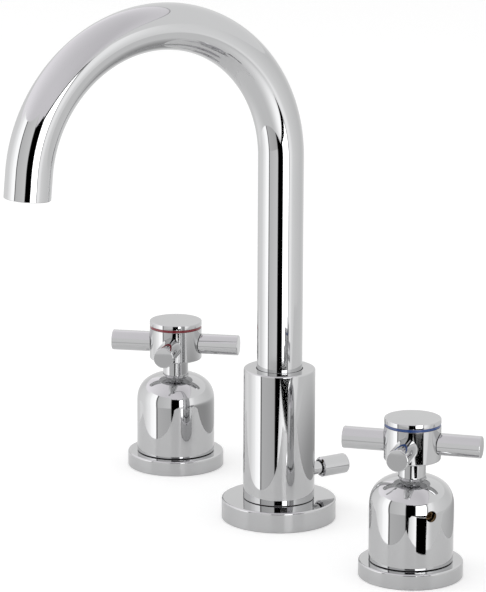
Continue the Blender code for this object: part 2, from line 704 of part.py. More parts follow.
def make_lift(carrier):
    """Vertical rod with a square head, the arm that leaves through the sleeve's slot, and its knob.

    The carrier lies on the rod's axis, at the height of the arm.
    """
    half = LIFT_HEAD_WIDTH / 2
    corner = LIFT_HEAD_WIDTH / 2 - LIFT_HEAD_BEVEL
    outline = [(half, corner), (corner, half), (-corner, half), (-half, corner),
               (-half, -corner), (-corner, -half), (corner, -half), (half, -corner)]
    foot = LIFT_ROD_BOTTOM - LIFT_HEIGHT
    stem = rod("lift_rod", LIFT_ROD_RADIUS, foot, 0, TINY_SIDES, carrier, "stainless_steel")
    weld(stem, prism("lift_rod_head", outline, -LIFT_HEAD_RISE, LIFT_HEAD_RISE, carrier))
    backward = Matrix.Rotation(-math.pi / 2, 4, "X")
    hole_radius = LIFT_THREAD_RADIUS + GAP
    cut(stem, rod("lift_head_hole", hole_radius, -half - CUT_OVERRUN, half + CUT_OVERRUN, TINY_SIDES,
                  carrier, place=backward))
    shoulder = half + GAP
    start = LIFT_KNOB_START - LIFT_SETBACK
    seat = start + LIFT_KNOB_RECESS - GAP
    outline = [
        (0, -half),
        (LIFT_THREAD_RADIUS, -half),
        (LIFT_THREAD_RADIUS, shoulder),
        (LIFT_ARM_RADIUS, shoulder),
        (LIFT_ARM_RADIUS, seat),
        (LIFT_THREAD_RADIUS, seat),
        (LIFT_THREAD_RADIUS, seat + LIFT_THREAD_IN_KNOB),
        (0, seat + LIFT_THREAD_IN_KNOB),
    ]
    turned("lift_arm", outline, SMALL_SIDES, carrier, "polished_chrome", backward)
    end = start + LIFT_KNOB_LENGTH
    recess = start + LIFT_KNOB_RECESS
    edge = (LIFT_KNOB_RADIUS - LIFT_KNOB_BEVEL, end - LIFT_KNOB_BEVEL)
    outline = [
        (0, recess + LIFT_THREAD_IN_KNOB + GAP),
        (hole_radius, recess + LIFT_THREAD_IN_KNOB + GAP),
        (hole_radius, recess),
        (LIFT_KNOB_MOUTH_RADIUS, recess),
        (LIFT_KNOB_MOUTH_RADIUS, start),
        (LIFT_KNOB_RADIUS - LIFT_KNOB_BEVEL, start),
        (LIFT_KNOB_RADIUS, start + LIFT_KNOB_BEVEL),
    ]
    outline += arc(edge, LIFT_KNOB_BEVEL, 0.0, 90.0, ROUND_STEPS)
    outline += [(0, end)]
    turned("lift_knob", outline, SMALL_SIDES, carrier, "polished_chrome", backward)


# Valve: the fixed pieces

def dome(radius, height, steps):
    """Outline of the bell's dome, a squared-off quarter ellipse from the shoulder to the neck hole."""
    hole = NECK_RADIUS + GAP
    last = math.acos((hole / radius) ** (BELL_DOME_POWER / 2))
    points = []
    for step in range(steps + 1):
        turn = last * step / steps
        rise = height * math.sin(turn) ** (2 / BELL_DOME_POWER)
        points.append((radius * math.cos(turn) ** (2 / BELL_DOME_POWER), BELL_SHOULDER + rise))
    return points


def make_bell(side, screw_azimuth_deg, carrier):
    """Domed escutcheon that screws down on the body's thread, with its locking screw in the wall."""
    foot = VALVE_FLANGE_HEIGHT + GAP
    thread = BODY_RADIUS + GAP
    inside = BELL_RADIUS - BELL_WALL
    outline = dome(BELL_RADIUS, BELL_DOME_HEIGHT, DOME_STEPS)
    outline += reversed(dome(inside, BELL_DOME_HEIGHT - BELL_WALL, HIDDEN_DOME_STEPS))
    outline += [
        (inside, foot + BELL_THREAD_HEIGHT),
        (thread, foot + BELL_THREAD_HEIGHT),
        (thread, foot),
        (BELL_RADIUS - BELL_FOOT_BEVEL, foot),
        (BELL_RADIUS, foot + BELL_FOOT_BEVEL),
    ]
    bell = turned(side + "_bell", outline, LARGE_SIDES, carrier, "polished_chrome")
    aim = Matrix.Rotation(math.radians(screw_azimuth_deg), 4, "Z")
    aim = aim @ Matrix.Translation((0, 0, SET_SCREW_HEIGHT)) @ Matrix.Rotation(math.pi / 2, 4, "Y")
    outside = BELL_RADIUS + CUT_OVERRUN
    cut(bell, rod(side + "_bell_hole", SET_SCREW_HOLE_RADIUS, BELL_RADIUS / 2, outside, SMALL_SIDES, carrier,
                  place=aim))
    radius = SET_SCREW_HOLE_RADIUS - GAP
    tip = GLAND_FLAT_RADIUS + GAP
    head = BELL_RADIUS - SET_SCREW_RECESS
    outline = [(0, tip), (radius / 2, tip), (radius, tip + radius / 2), (radius, head), (0, head)]
    screw = turned(side + "_set_screw", outline, TINY_SIDES, carrier, "bare_brass", aim)
    cut(screw, prism(side + "_set_screw_key", hexagon(SET_SCREW_KEY_RADIUS), head - SET_SCREW_KEY_DEPTH,
                     head + CUT_OVERRUN, carrier, place=aim))


def make_body(side, spout_direction, carrier):
    """Brass body: threaded barrel with the cartridge's chamber, inlet below and outlet to the side."""
    inlet_end = BODY_BOTTOM - INLET_LENGTH
    outline = [
        (INLET_BORE_RADIUS, inlet_end),
        (INLET_RADIUS, inlet_end),
        (INLET_RADIUS, BODY_BOTTOM),
        (BODY_RADIUS, BODY_BOTTOM),
        (BODY_RADIUS, BODY_THREAD_TOP),
        (BODY_TOP_RADIUS, BODY_THREAD_TOP),
        (BODY_TOP_RADIUS, BODY_TOP),
        (CHAMBER_RADIUS, BODY_TOP),
        (CHAMBER_RADIUS, CHAMBER_FLOOR),
        (INLET_BORE_RADIUS, CHAMBER_FLOOR),
    ]
    body = turned(side + "_valve_body", outline, MEDIUM_SIDES, carrier, "bare_brass")
    start = (INLET_BORE_RADIUS + CHAMBER_RADIUS) / 2
    outlet = side_bar(side + "_outlet", OUTLET_RADIUS, start, OUTLET_REACH, OUTLET_HEIGHT, spout_direction,
                      carrier)
    weld(body, outlet)
    beside = Matrix.Translation((spout_direction * CHANNEL_SETOUT, 0, 0))
    channel = rod(side + "_channel", CHANNEL_RADIUS, OUTLET_HEIGHT, CHANNEL_TOP, TINY_SIDES, carrier,
                  place=beside)
    bore = side_bar(side + "_outlet_bore", OUTLET_BORE_RADIUS, CHANNEL_SETOUT - CHANNEL_RADIUS,
                    OUTLET_REACH + CUT_OVERRUN, OUTLET_HEIGHT, spout_direction, carrier)
    cut(body, channel, bore)


def make_housing(side, carrier):
    """Cartridge housing: pocket for the discs, side windows, collar, and a stop wall round the stem."""
    bore = STEM_RADIUS + GAP
    collar_top = HOUSING_SEAT + HOUSING_COLLAR_HEIGHT
    outline = [
        (HOUSING_POCKET_RADIUS, HOUSING_BOTTOM),
        (HOUSING_RADIUS, HOUSING_BOTTOM),
        (HOUSING_RADIUS, HOUSING_SEAT),
        (HOUSING_COLLAR_RADIUS, HOUSING_SEAT),
        (HOUSING_COLLAR_RADIUS, collar_top),
        (HOUSING_NECK_RADIUS, collar_top),
        (HOUSING_NECK_RADIUS, HOUSING_TOP),
        (bore, HOUSING_TOP),
        (bore, HOUSING_SHOULDER),
        (HOUSING_POCKET_RADIUS, HOUSING_SHOULDER),
    ]
    housing = turned(side + "_cartridge_housing", outline, MEDIUM_SIDES, carrier, "bare_brass")
    window_span = QUARTER_TURN_DEG + STOP_TAB_SPAN_DEG + 2 * STOP_TAB_MARGIN_DEG
    wall_radius = HOUSING_NECK_RADIUS - GAP
    weld(housing, sector(side + "_stop_wall", bore + GAP, wall_radius, HOUSING_TOP - CUT_OVERRUN,
                         HOUSING_TOP + STOP_WALL_HEIGHT, 270.0, 360.0 - window_span, TINY_SIDES, carrier))
    half = WINDOW_WIDTH / 2
    reach = HOUSING_RADIUS + CUT_OVERRUN
    high = HOUSING_SHOULDER - GAP
    low = high - WINDOW_HEIGHT
    cut(housing, block(side + "_windows", (-half, -reach, low), (half, reach, high), carrier))


def make_disc(name, bottom, port_azimuth_deg, slot_azimuth_deg, carrier):
    """Ceramic disc with two fan-shaped ports; the moving one also has the slot that drives it."""
    top = bottom + DISC_THICKNESS
    disc = rod(name, DISC_RADIUS, bottom, top, MEDIUM_SIDES, carrier, "white_ceramic")
    for number in range(2):
        port_name = "%s_port_%d" % (name, number + 1)
        middle = port_azimuth_deg + 180.0 * number
        cut(disc, sector(port_name, PORT_INNER_RADIUS, PORT_OUTER_RADIUS, bottom - CUT_OVERRUN,
                         top + CUT_OVERRUN, middle, PORT_SPAN_DEG, RING_SIDES, carrier))
    if slot_azimuth_deg is not None:
        reach = DISC_RADIUS + CUT_OVERRUN
        half = DRIVE_SLOT_WIDTH / 2
        floor = top - DRIVE_SLOT_DEPTH
        slot = block(name + "_slot", (-reach, -half, floor), (reach, half, top + CUT_OVERRUN), carrier)
        slot.rotation_euler.z = math.radians(slot_azimuth_deg)
        cut(disc, slot)


def make_gland_nut(side, screw_azimuth_deg, carrier):
    """Hexagonal nut that holds the cartridge down; one flat meets the set screw."""
    top = HOUSING_SEAT + HOUSING_COLLAR_HEIGHT + GAP + GLAND_TOP_WALL
    ceiling = top - GLAND_TOP_WALL
    flats = hexagon(GLAND_FLAT_RADIUS, screw_azimuth_deg)
    nut = prism(side + "_gland_nut", flats, GLAND_BOTTOM, top, carrier, "bare_brass")
    outline = [
        (0, GLAND_BOTTOM - CUT_OVERRUN),
        (BODY_TOP_RADIUS + GAP, GLAND_BOTTOM - CUT_OVERRUN),
        (BODY_TOP_RADIUS + GAP, ceiling),
        (HOUSING_NECK_RADIUS + GAP, ceiling),
        (HOUSING_NECK_RADIUS + GAP, top + CUT_OVERRUN),
        (0, top + CUT_OVERRUN),
    ]
    cut(nut, turned(side + "_gland_hole", outline, MEDIUM_SIDES, carrier))


def make_valve(side, spout_direction, screw_azimuth_deg, carrier):
    bore = BODY_RADIUS + GAP
    make_flange(side + "_flange", VALVE_FLANGE_RADIUS, VALVE_FLANGE_HEIGHT, 0, bore, LARGE_SIDES, carrier)
    make_gasket(side + "_gasket", VALVE_FLANGE_RADIUS, bore, MEDIUM_SIDES, carrier)
    make_bell(side, screw_azimuth_deg, carrier)
    make_body(side, spout_direction, carrier)
    make_clamp(side, BODY_RADIUS, VALVE_WASHER_RADIUS, VALVE_NUT_FLAT_RADIUS, carrier)
    make_housing(side, carrier)
    make_gland_nut(side, screw_azimuth_deg, carrier)
    low = CHAMBER_FLOOR + GAP
    outline = [
        (INLET_BORE_RADIUS, low),
        (DISC_RADIUS, low),
        (DISC_RADIUS, low + SEAT_SEAL_HEIGHT),
        (INLET_BORE_RADIUS, low + SEAT_SEAL_HEIGHT),
    ]
    turned(side + "_seat_seal", outline, SMALL_SIDES, carrier, "black_rubber")
    make_disc(side + "_fixed_disc", FIXED_DISC_BOTTOM, 0.0, None, carrier)


# Valve: the pieces that turn with the cross handle

def spline(root, tip, teeth):
    """Outline of a splined shaft: flat-topped teeth, four points to each."""
    points = []
    for corner in range(4 * teeth):
        radius = tip if corner % 4 in (0, 1) else root
        turn = math.tau * corner / (4 * teeth)
        points.append((radius * math.cos(turn), radius * math.sin(turn)))
    return points


def make_stem(side, turn_direction, carrier):
    """Brass stem: foot and key for the disc, stop tab, splined end and the hole for the handle's screw."""
    shaft_top = SPLINE_BOTTOM + CUT_OVERRUN
    stem = rod(side + "_stem", STEM_RADIUS, STEM_FOOT_BOTTOM, shaft_top, SMALL_SIDES, carrier, "bare_brass")
    splined = spline(SPLINE_ROOT_RADIUS, SPLINE_TIP_RADIUS, SPLINE_TEETH)
    teeth = prism(side + "_spline", splined, SPLINE_BOTTOM, STEM_TOP, carrier)
    long_half = STEM_FOOT_LENGTH / 2
    wide_half = STEM_FOOT_WIDTH / 2
    key_half = DRIVE_SLOT_WIDTH / 2 - GAP
    disc_top = MOVING_DISC_BOTTOM + DISC_THICKNESS
    foot = block(side + "_stem_foot", (-long_half, -wide_half, STEM_FOOT_BOTTOM),
                 (long_half, wide_half, STEM_FOOT_BOTTOM + STEM_FOOT_HEIGHT), carrier)
    key = block(side + "_stem_key", (-long_half, -key_half, disc_top - DRIVE_SLOT_DEPTH + GAP),
                (long_half, key_half, STEM_FOOT_BOTTOM + CUT_OVERRUN), carrier)
    tab_azimuth = 90.0 - turn_direction * QUARTER_TURN_DEG / 2
    tab = sector(side + "_stop_tab", STEM_RADIUS / 2, HOUSING_NECK_RADIUS - GAP, HOUSING_TOP + GAP,
                 HOUSING_TOP + STOP_WALL_HEIGHT, tab_azimuth, STOP_TAB_SPAN_DEG, RING_SIDES, carrier)
    weld(stem, teeth, foot, key, tab)
    bottom = STEM_TOP - HANDLE_SCREW_REACH
    bore = HANDLE_SCREW_RADIUS + GAP
    cut(stem, rod(side + "_stem_hole", bore, bottom, STEM_TOP + CUT_OVERRUN, TINY_SIDES, carrier))


def make_hub(side, spoke_turn_deg, carrier):
    """Handle hub with its neck: splined socket below, spoke holes round it and a pocket for the cap."""
    screw_hole = HANDLE_SCREW_RADIUS + GAP
    counterbore = HANDLE_SCREW_HEAD_RADIUS + GAP
    pocket = CAP_PLUG_RADIUS + GAP
    pocket_floor = CAP_PLUG_BOTTOM - GAP
    socket_top = STEM_TOP + GAP
    low_edge = (HUB_RADIUS - HUB_EDGE_ROUND, HUB_BOTTOM + HUB_EDGE_ROUND)
    outline = [
        (screw_hole, NECK_BOTTOM),
        (NECK_RADIUS, NECK_BOTTOM),
        (NECK_RADIUS, HUB_BOTTOM),
    ]
    outline += arc(low_edge, HUB_EDGE_ROUND, 270.0, 360.0, ROUND_STEPS)
    outline += [
        (HUB_RADIUS, HUB_TOP),
        (pocket, HUB_TOP),
        (pocket, pocket_floor),
        (counterbore, pocket_floor),
        (counterbore, SCREW_SEAT),
        (screw_hole, SCREW_SEAT),
    ]
    hub = turned(side + "_hub", outline, LARGE_SIDES, carrier, "polished_chrome")
    teeth = spline(SPLINE_ROOT_RADIUS + GAP, SPLINE_TIP_RADIUS + GAP, SPLINE_TEETH)
    cut(hub, prism(side + "_socket", teeth, NECK_BOTTOM - CUT_OVERRUN, socket_top, carrier))
    hole = SPOKE_TENON_RADIUS + GAP
    inner = HUB_RADIUS - SPOKE_TENON_LENGTH - GAP
    outside = HUB_RADIUS + CUT_OVERRUN
    for number in range(SPOKE_COUNT):
        aim = Matrix.Rotation(math.radians(spoke_turn_deg) + math.tau * number / SPOKE_COUNT, 4, "Z")
        aim = aim @ Matrix.Translation((0, 0, SPOKE_HEIGHT)) @ Matrix.Rotation(math.pi / 2, 4, "Y")
        name = "%s_spoke_hole_%d" % (side, number + 1)
        cut(hub, rod(name, hole, inner, outside, TINY_SIDES, carrier, place=aim))


def spoke_ring(radius, distance, hub_radius=None):
    """A ring of a spoke that points along +X; at the hub it follows the hub's round side."""
    points = []
    for point in circle(radius, 0, SMALL_SIDES):
        along = distance
        if hub_radius is not None:
            along = math.sqrt(hub_radius ** 2 - point.x ** 2)
        points.append(Vector((along, point.x, SPOKE_HEIGHT + point.y)))
    return points


def make_spokes(side, spoke_turn_deg, carrier):
    """Round spokes, coped to the hub's side, each with a tenon that screws into the hub."""
    seat = HUB_RADIUS + GAP
    bevel_radius = SPOKE_RADIUS - SPOKE_EDGE_BEVEL
    for number in range(SPOKE_COUNT):
        rings = [
            spoke_ring(SPOKE_TENON_RADIUS, HUB_RADIUS - SPOKE_TENON_LENGTH),
            spoke_ring(SPOKE_TENON_RADIUS, 0, seat),
            spoke_ring(SPOKE_RADIUS, 0, seat),
            spoke_ring(SPOKE_RADIUS, SPOKE_REACH - SPOKE_EDGE_BEVEL),
            spoke_ring(bevel_radius, SPOKE_REACH),
        ]
        spoke = add_object(loft(rings), "%s_spoke_%d" % (side, number + 1), carrier, "polished_chrome")
        spoke.rotation_euler.z = math.radians(spoke_turn_deg) + math.tau * number / SPOKE_COUNT


def make_cap(side, index_finish, carrier):
    """Cap with a plug, the coloured index ring under its rim, and the screw that it hides."""
    edge = HUB_RADIUS - CAP_EDGE_BEVEL
    outline = [
        (0, CAP_PLUG_BOTTOM),
        (CAP_PLUG_RADIUS, CAP_PLUG_BOTTOM),
        (CAP_PLUG_RADIUS, CAP_BOTTOM),
        (HUB_RADIUS, CAP_BOTTOM),
        (HUB_RADIUS, HANDLE_TOP - CAP_EDGE_BEVEL),
        (edge, HANDLE_TOP),
        (0, HANDLE_TOP),
    ]
    turned(side + "_cap", outline, LARGE_SIDES, carrier, "polished_chrome")
    low = HUB_TOP + GAP
    high = low + INDEX_RING_HEIGHT
    inner = CAP_PLUG_RADIUS + GAP
    outline = [(inner, low), (HUB_RADIUS, low), (HUB_RADIUS, high), (inner, high)]
    turned(side + "_index_ring", outline, LARGE_SIDES, carrier, index_finish)
    head = SCREW_SEAT + GAP
    head_top = head + HANDLE_SCREW_HEAD_HEIGHT
    tip = STEM_TOP - HANDLE_SCREW_REACH + GAP
    outline = [
        (0, tip),
        (HANDLE_SCREW_RADIUS, tip),
        (HANDLE_SCREW_RADIUS, head),
        (HANDLE_SCREW_HEAD_RADIUS, head),
        (HANDLE_SCREW_HEAD_RADIUS, head_top),
        (0, head_top),
    ]
    screw = turned(side + "_handle_screw", outline, SMALL_SIDES, carrier, "stainless_steel")
    key_floor = head_top - HANDLE_SCREW_KEY_DEPTH
    key = hexagon(HANDLE_SCREW_KEY_RADIUS)
    cut(screw, prism(side + "_screw_key", key, key_floor, head_top + CUT_OVERRUN, carrier))


def make_handle(side, turn_direction, spoke_turn_deg, index_finish, carrier):
    make_hub(side, spoke_turn_deg, carrier)
    make_spokes(side, spoke_turn_deg, carrier)
    make_cap(side, index_finish, carrier)
    make_stem(side, turn_direction, carrier)
    make_disc(side + "_moving_disc", MOVING_DISC_BOTTOM, 90.0, 0.0, carrier)


def main():
    clear_scene()
    make_spout_base(pivot("deck_station", (0, 0, 0)))
    make_spout(pivot("spout_pivot", (0, 0, 0)))
    lift = pivot("lift_pivot", (0, LIFT_SETBACK, LIFT_HEIGHT))
    make_lift(lift)
    hot_place = (-HOT_SPACING, VALVE_SETBACK, 0)
    cold_place = (COLD_SPACING, VALVE_SETBACK, 0)
    make_valve("hot", 1, HOT_SCREW_AZIMUTH_DEG, pivot("hot_station", hot_place))
    make_valve("cold", -1, COLD_SCREW_AZIMUTH_DEG, pivot("cold_station", cold_place))
    make_handle("hot", 1, HOT_SPOKE_TURN_DEG, "hot_red", pivot("hot_handle_pivot", hot_place))
    make_handle("cold", -1, COLD_SPOKE_TURN_DEG, "cold_blue", pivot("cold_handle_pivot", cold_place))
    bpy.context.view_layer.update()
    solids = [obj for obj in bpy.data.objects if obj.type == "MESH" and not obj.hide_render]
    print("pieces:", len(solids))


main()
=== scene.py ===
# %% [markdown]
# # A widespread bathroom faucet in polished chrome
#
# Three things stand on the deck of a basin: a gooseneck spout in the middle and a valve with a
# cross handle on each side of it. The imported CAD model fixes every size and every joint, and this
# lesson dresses it: each solid gets a finely modelled piece or a finish of its own.
#
# Everything is in metres. The origin lies on the deck on the spout's axis, +X runs from the hot
# valve to the cold one, and the spout reaches towards -Y.

# %% Load the frame
import json
import math

import bmesh
import bpy
from mathutils import Matrix, Vector


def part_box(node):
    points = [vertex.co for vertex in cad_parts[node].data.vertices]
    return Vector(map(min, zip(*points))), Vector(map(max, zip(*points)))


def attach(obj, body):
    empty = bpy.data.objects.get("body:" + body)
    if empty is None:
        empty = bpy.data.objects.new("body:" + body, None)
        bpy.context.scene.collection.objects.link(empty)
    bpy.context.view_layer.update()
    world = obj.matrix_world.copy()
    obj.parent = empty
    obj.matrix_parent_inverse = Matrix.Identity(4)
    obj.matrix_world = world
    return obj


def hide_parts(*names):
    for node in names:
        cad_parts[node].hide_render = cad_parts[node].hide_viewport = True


MM = 0.001

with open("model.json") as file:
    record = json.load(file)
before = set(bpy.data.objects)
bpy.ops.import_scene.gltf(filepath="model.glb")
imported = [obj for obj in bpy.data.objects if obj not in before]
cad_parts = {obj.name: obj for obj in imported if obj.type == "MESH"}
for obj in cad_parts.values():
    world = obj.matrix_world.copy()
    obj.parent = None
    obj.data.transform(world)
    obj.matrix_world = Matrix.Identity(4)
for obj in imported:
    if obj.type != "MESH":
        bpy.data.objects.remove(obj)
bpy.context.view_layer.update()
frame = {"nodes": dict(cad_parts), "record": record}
BODIES = frame["record"]["behaviour"]["bodies"]
BODY_OF = {node: body for body, nodes in BODIES.items() for node in nodes}
print("nodes in the frame:", len(BODY_OF))

# %% [markdown]
# ## The camera
#
# The photograph looks down at the faucet by about fourteen degrees from the front right, through
# a long lens from a good way off, so upright edges stay almost parallel. The values below were
# fitted to the edges of the flanges and tubes. A camera first looks level along +Y, then it is
# turned to its heading, tipped down, and rolled by the quarter of a degree that the photograph has.
# The Standard view transform shows colours as they are written.

# %% Place the camera
CAMERA_PLACE = Vector((1.4806, -0.9496, 0.5509))
CAMERA_HEADING = math.radians(57.93)
CAMERA_LOOKS_DOWN_DEG = 13.91
CAMERA_TIP = math.radians(90.0 - CAMERA_LOOKS_DOWN_DEG)
CAMERA_ROLL = math.radians(0.25)
CAMERA_LENS = 219.92
SENSOR_HEIGHT = 36.0

turn = Matrix.Rotation(CAMERA_HEADING, 4, "Z") @ Matrix.Rotation(CAMERA_TIP, 4, "X")
turn = turn @ Matrix.Rotation(CAMERA_ROLL, 4, "Z")
bpy.ops.object.select_all(action="DESELECT")
bpy.ops.object.camera_add()
camera = bpy.context.object
camera.name = "photo_camera"
camera.matrix_world = Matrix.Translation(CAMERA_PLACE) @ turn
camera.data.sensor_fit = "VERTICAL"
camera.data.sensor_height = SENSOR_HEIGHT
camera.data.lens = CAMERA_LENS
bpy.context.scene.camera = camera
bpy.context.scene.view_settings.view_transform = "Standard"
print("camera distance in m:", round(CAMERA_PLACE.length, 2))

# %% [markdown]
# ## Shader maths as plain expressions
#
# A finish in Blender is a graph of small nodes. `noise * 0.03 + 0.04` reads better than two Math
# nodes linked by hand, so a small class wraps one socket and turns each operator into its node.
# Every other node comes from one method: its type, its settings, and what goes into its sockets.

# %% A socket that works in expressions


class Value:
    """One output of a node, usable in sums and products."""

    def __init__(self, graph, socket):
        self.graph = graph
        self.socket = socket

    def math(self, operation, *others):
        inputs = dict(enumerate((self, *others)))
        return self.graph.node("ShaderNodeMath", {"operation": operation}, inputs)

    def __add__(self, other):
        return self.math("ADD", other)

    def __sub__(self, other):
        return self.math("SUBTRACT", other)

    def __rsub__(self, other):
        return (self * -1.0).math("ADD", other)

    def __mul__(self, other):
        return self.math("MULTIPLY", other)

    __radd__ = __add__
    __rmul__ = __mul__


# %% [markdown]
# The graph class holds the node tree of one material or of the world. Four methods name the
# nodes that every finish needs: a noise, a soft threshold, a mix of two colours and a bump. A fifth
# closes the graph with its output. A new material comes with its graph, emptied.

# %% The graph of a finish


class Graph:
    """The nodes of one material or of the world."""

    def __init__(self, tree):
        self.tree = tree
        tree.nodes.clear()

    def node(self, kind, settings=None, inputs=None, output=0):
        """Add a node, set it up, then fill its sockets with numbers, colours or other values."""
        node = self.tree.nodes.new(kind)
        for key, setting in (settings or {}).items():
            if key == "stops":
                self.set_stops(node.color_ramp, setting)
            else:
                setattr(node, key, setting)
        for key, value in (inputs or {}).items():
            if isinstance(value, Value):
                self.tree.links.new(value.socket, node.inputs[key])
            else:
                node.inputs[key].default_value = value
        return Value(self, node.outputs[output]) if len(node.outputs) else node

    def set_stops(self, ramp, stops):
        """Give a colour ramp its grey stops, as pairs of position and level."""
        for position, _ in stops[1:-1]:
            ramp.elements.new(position)
        for element, (position, level) in zip(ramp.elements, stops):
            element.position = position
            element.color = (level, level, level, 1.0)

    def noise(self, place, scale, detail=2.0):
        inputs = {"Vector": place, "Scale": scale, "Detail": detail}
        return self.node("ShaderNodeTexNoise", {}, inputs)

    def threshold(self, value, low, high):
        """Goes softly from 0 to 1 while the value goes from low to high."""
        inputs = {"Value": value, "From Min": low, "From Max": high}
        return self.node("ShaderNodeMapRange", {"interpolation_type": "SMOOTHSTEP"}, inputs)

    def mix(self, factor, *colours):
        """The first colour where the factor is 0 and the second where it is 1."""
        first, second = [c if isinstance(c, Value) else (*c, 1.0) for c in colours]
        inputs = {0: factor, 6: first, 7: second}
        return self.node("ShaderNodeMix", {"data_type": "RGBA"}, inputs, 2)

    def bump(self, height, depth):
        inputs = {"Height": height, "Strength": 1.0, "Distance": depth}
        return self.node("ShaderNodeBump", {}, inputs)

    def close(self, shader, output="ShaderNodeOutputMaterial"):
        self.node(output, {}, {"Surface": shader})


def new_material(name):
    """A new material and its empty graph."""
    material = bpy.data.materials.new(name)
    material.use_nodes = True
    return material, Graph(material.node_tree)


# %% [markdown]
# ## Selecting in code
#
# Operators act on whatever is selected. Four small helpers are used all through this lesson: one
# selects whole objects, one picks vertices by where they lie, one starts a piece as a circle, and
# one extrudes what is selected.

# %% Select in code, start a circle, push it on
WELD = 0.002 * MM


def only(*pieces):
    """Go to object mode with just these pieces selected, the first one active."""
    if bpy.context.object and bpy.context.object.mode == "EDIT":
        bpy.ops.object.mode_set(mode="OBJECT")
    bpy.ops.object.select_all(action="DESELECT")
    for piece in reversed(pieces):
        piece.select_set(True)
        bpy.context.view_layer.objects.active = piece


def pick(test):
    """In edit mode, select the vertices whose place passes a test."""
    bpy.ops.mesh.select_mode(type="VERT")
    bpy.ops.mesh.select_all(action="DESELECT")
    data = bpy.context.object.data
    mesh = bmesh.from_edit_mesh(data)
    for vertex in mesh.verts:
        if test(vertex.co):
            vertex.select_set(True)
    bmesh.update_edit_mesh(data)


def begin_circle(sides, radius, place, **options):
    """Add a circle and go to edit mode with all of it selected."""
    only()
    bpy.ops.mesh.primitive_circle_add(vertices=sides, radius=radius, location=place, **options)
    bpy.ops.object.transform_apply()
    bpy.ops.object.mode_set(mode="EDIT")
    bpy.ops.mesh.select_all(action="SELECT")


def push(step):
    """Extrude what is selected by one step."""
    bpy.ops.mesh.extrude_region_move(TRANSFORM_OT_translate={"value": step})


# %% [markdown]
# ## The studio
#
# Polished chrome has hardly a colour of its own: its stripes are the room around it. In the
# photograph each upright tube shows, from left to right, light grey, a white strip, a dark line, a
# grey band, a black stripe, a second white strip and light grey again. That is a tall soft box on
# the left, a grey screen, a black flag beside the camera, and another soft box on the right.
#
# The world is plain white at strength 1, for the camera and for what metal mirrors. Matt surfaces
# get a little less of it, because two soft lamps add the rest.

# %% A white world
MATT_LEVEL = 0.76


def seen_directly(graph):
    """1 for rays from the camera, from a mirror or through glass, and 0 for all others."""
    shown = graph.node("ShaderNodeLightPath", output="Is Camera Ray")
    for ray in ("Is Glossy Ray", "Is Transmission Ray"):
        shown = shown.math("MAXIMUM", graph.node("ShaderNodeLightPath", output=ray))
    return shown


world = bpy.data.worlds.new("white_studio")
bpy.context.scene.world = world
world.use_nodes = True
graph = Graph(world.node_tree)
strength = seen_directly(graph) * (1.0 - MATT_LEVEL) + MATT_LEVEL
light = {"Color": (1.0, 1.0, 1.0, 1.0), "Strength": strength}
graph.close(graph.node("ShaderNodeBackground", {}, light), "ShaderNodeOutputWorld")
print("world strength for matt surfaces:", MATT_LEVEL)

# %% [markdown]
# Most props of the studio only have to glow, and only the metal mirrors them. Two helpers serve
# them all: one names an object and sets which rays see it, the other gives it a glow whose level is
# an expression of its own coordinates.

# %% Props of the studio


def stage_prop(name, mirrored):
    """Name the active object and let it be seen by mirrored rays only or by all others."""
    prop = bpy.context.object
    prop.name = name
    prop.visible_glossy = mirrored
    if mirrored:
        prop.visible_camera = prop.visible_diffuse = prop.visible_transmission = False
        prop.visible_shadow = False
    return prop


def glowing(prop, level, colour=(1.0, 1.0, 1.0)):
    """Let a prop glow. The level is worked out from the graph and the x and y of the prop."""
    material, graph = new_material(prop.name)
    spot = graph.node("ShaderNodeTexCoord", output="Object")
    x, y = [graph.node("ShaderNodeSeparateXYZ", {}, {"Vector": spot}, axis) for axis in "XY"]
    glow = {"Color": (*colour, 1.0), "Strength": level(graph, x, y)}
    graph.close(graph.node("ShaderNodeEmission", {}, glow))
    prop.data.materials.append(material)


# %% [markdown]
# The screens stand in a ring round the object. Each is given by where it starts and ends, in
# degrees to the right of the way back to the camera, and by how bright it is at either end, with 1
# for white. Between two screens the level goes evenly from one to the other. Low down, where the
# sleeve and the bells look, the black flag is wider and hides the foot of the right soft box, so the
# ring has an upper and a lower part. A dark rail runs along the top of the flag and of the right
# soft box.

# %% Where the screens stand
SCREENS = {
    "behind, left": (-180.0, -146.0, 0.86, 0.86),
    "left wall": (-128.0, -106.0, 1.00, 1.08),
    "left glow": (-92.0, -84.5, 1.33, 1.42),
    "left soft box": (-81.0, -63.0, 1.60, 1.78),
    "left frame": (-61.5, -59.0, 0.10, 0.10),
    "grey screen": (-57.5, -15.5, 0.76, 0.92),
    "black flag": (-13.5, 11.0, 0.0, 0.0),
    "right soft box": (13.0, 37.5, 4.0, 4.0),
    "right frame": (39.0, 40.5, 0.40, 0.40),
    "right glow": (43.5, 52.0, 1.36, 1.36),
    "right wall": (62.0, 80.0, 1.06, 0.96),
    "far right": (112.0, 128.0, 0.86, 0.84),
    "behind, right": (146.0, 180.0, 0.90, 0.88),
}
LOW_SCREENS = {
    **SCREENS,
    "grey screen": (-57.5, -15.5, 0.70, 0.62),
    "right soft box": (13.0, 27.0, 0.0, 0.0),
    "right frame": (28.0, 41.5, 0.0, 0.0),
    "right glow": (43.5, 52.0, 1.18, 1.12),
    "right wall": (62.0, 80.0, 1.08, 1.02),
    "far right": (112.0, 128.0, 0.92, 0.84),
    "behind, right": (146.0, 180.0, 0.86, 0.84),
}
TOP_EDGE = {
    "left": (-180.0, -16.0, 1.0, 1.0),
    "dark rail": (-15.0, 41.5, 0.04, 0.04),
    "right": (42.5, 180.0, 1.0, 1.0),
}
print("screens:", len(SCREENS))

# %% [markdown]
# Over the left part of the flag and round the rest of the ring the upper part is raised, because
# the arch and the flat caps mirror how high it stands there. Each row gives the two angles between
# which the top is raised, and its height in metres.

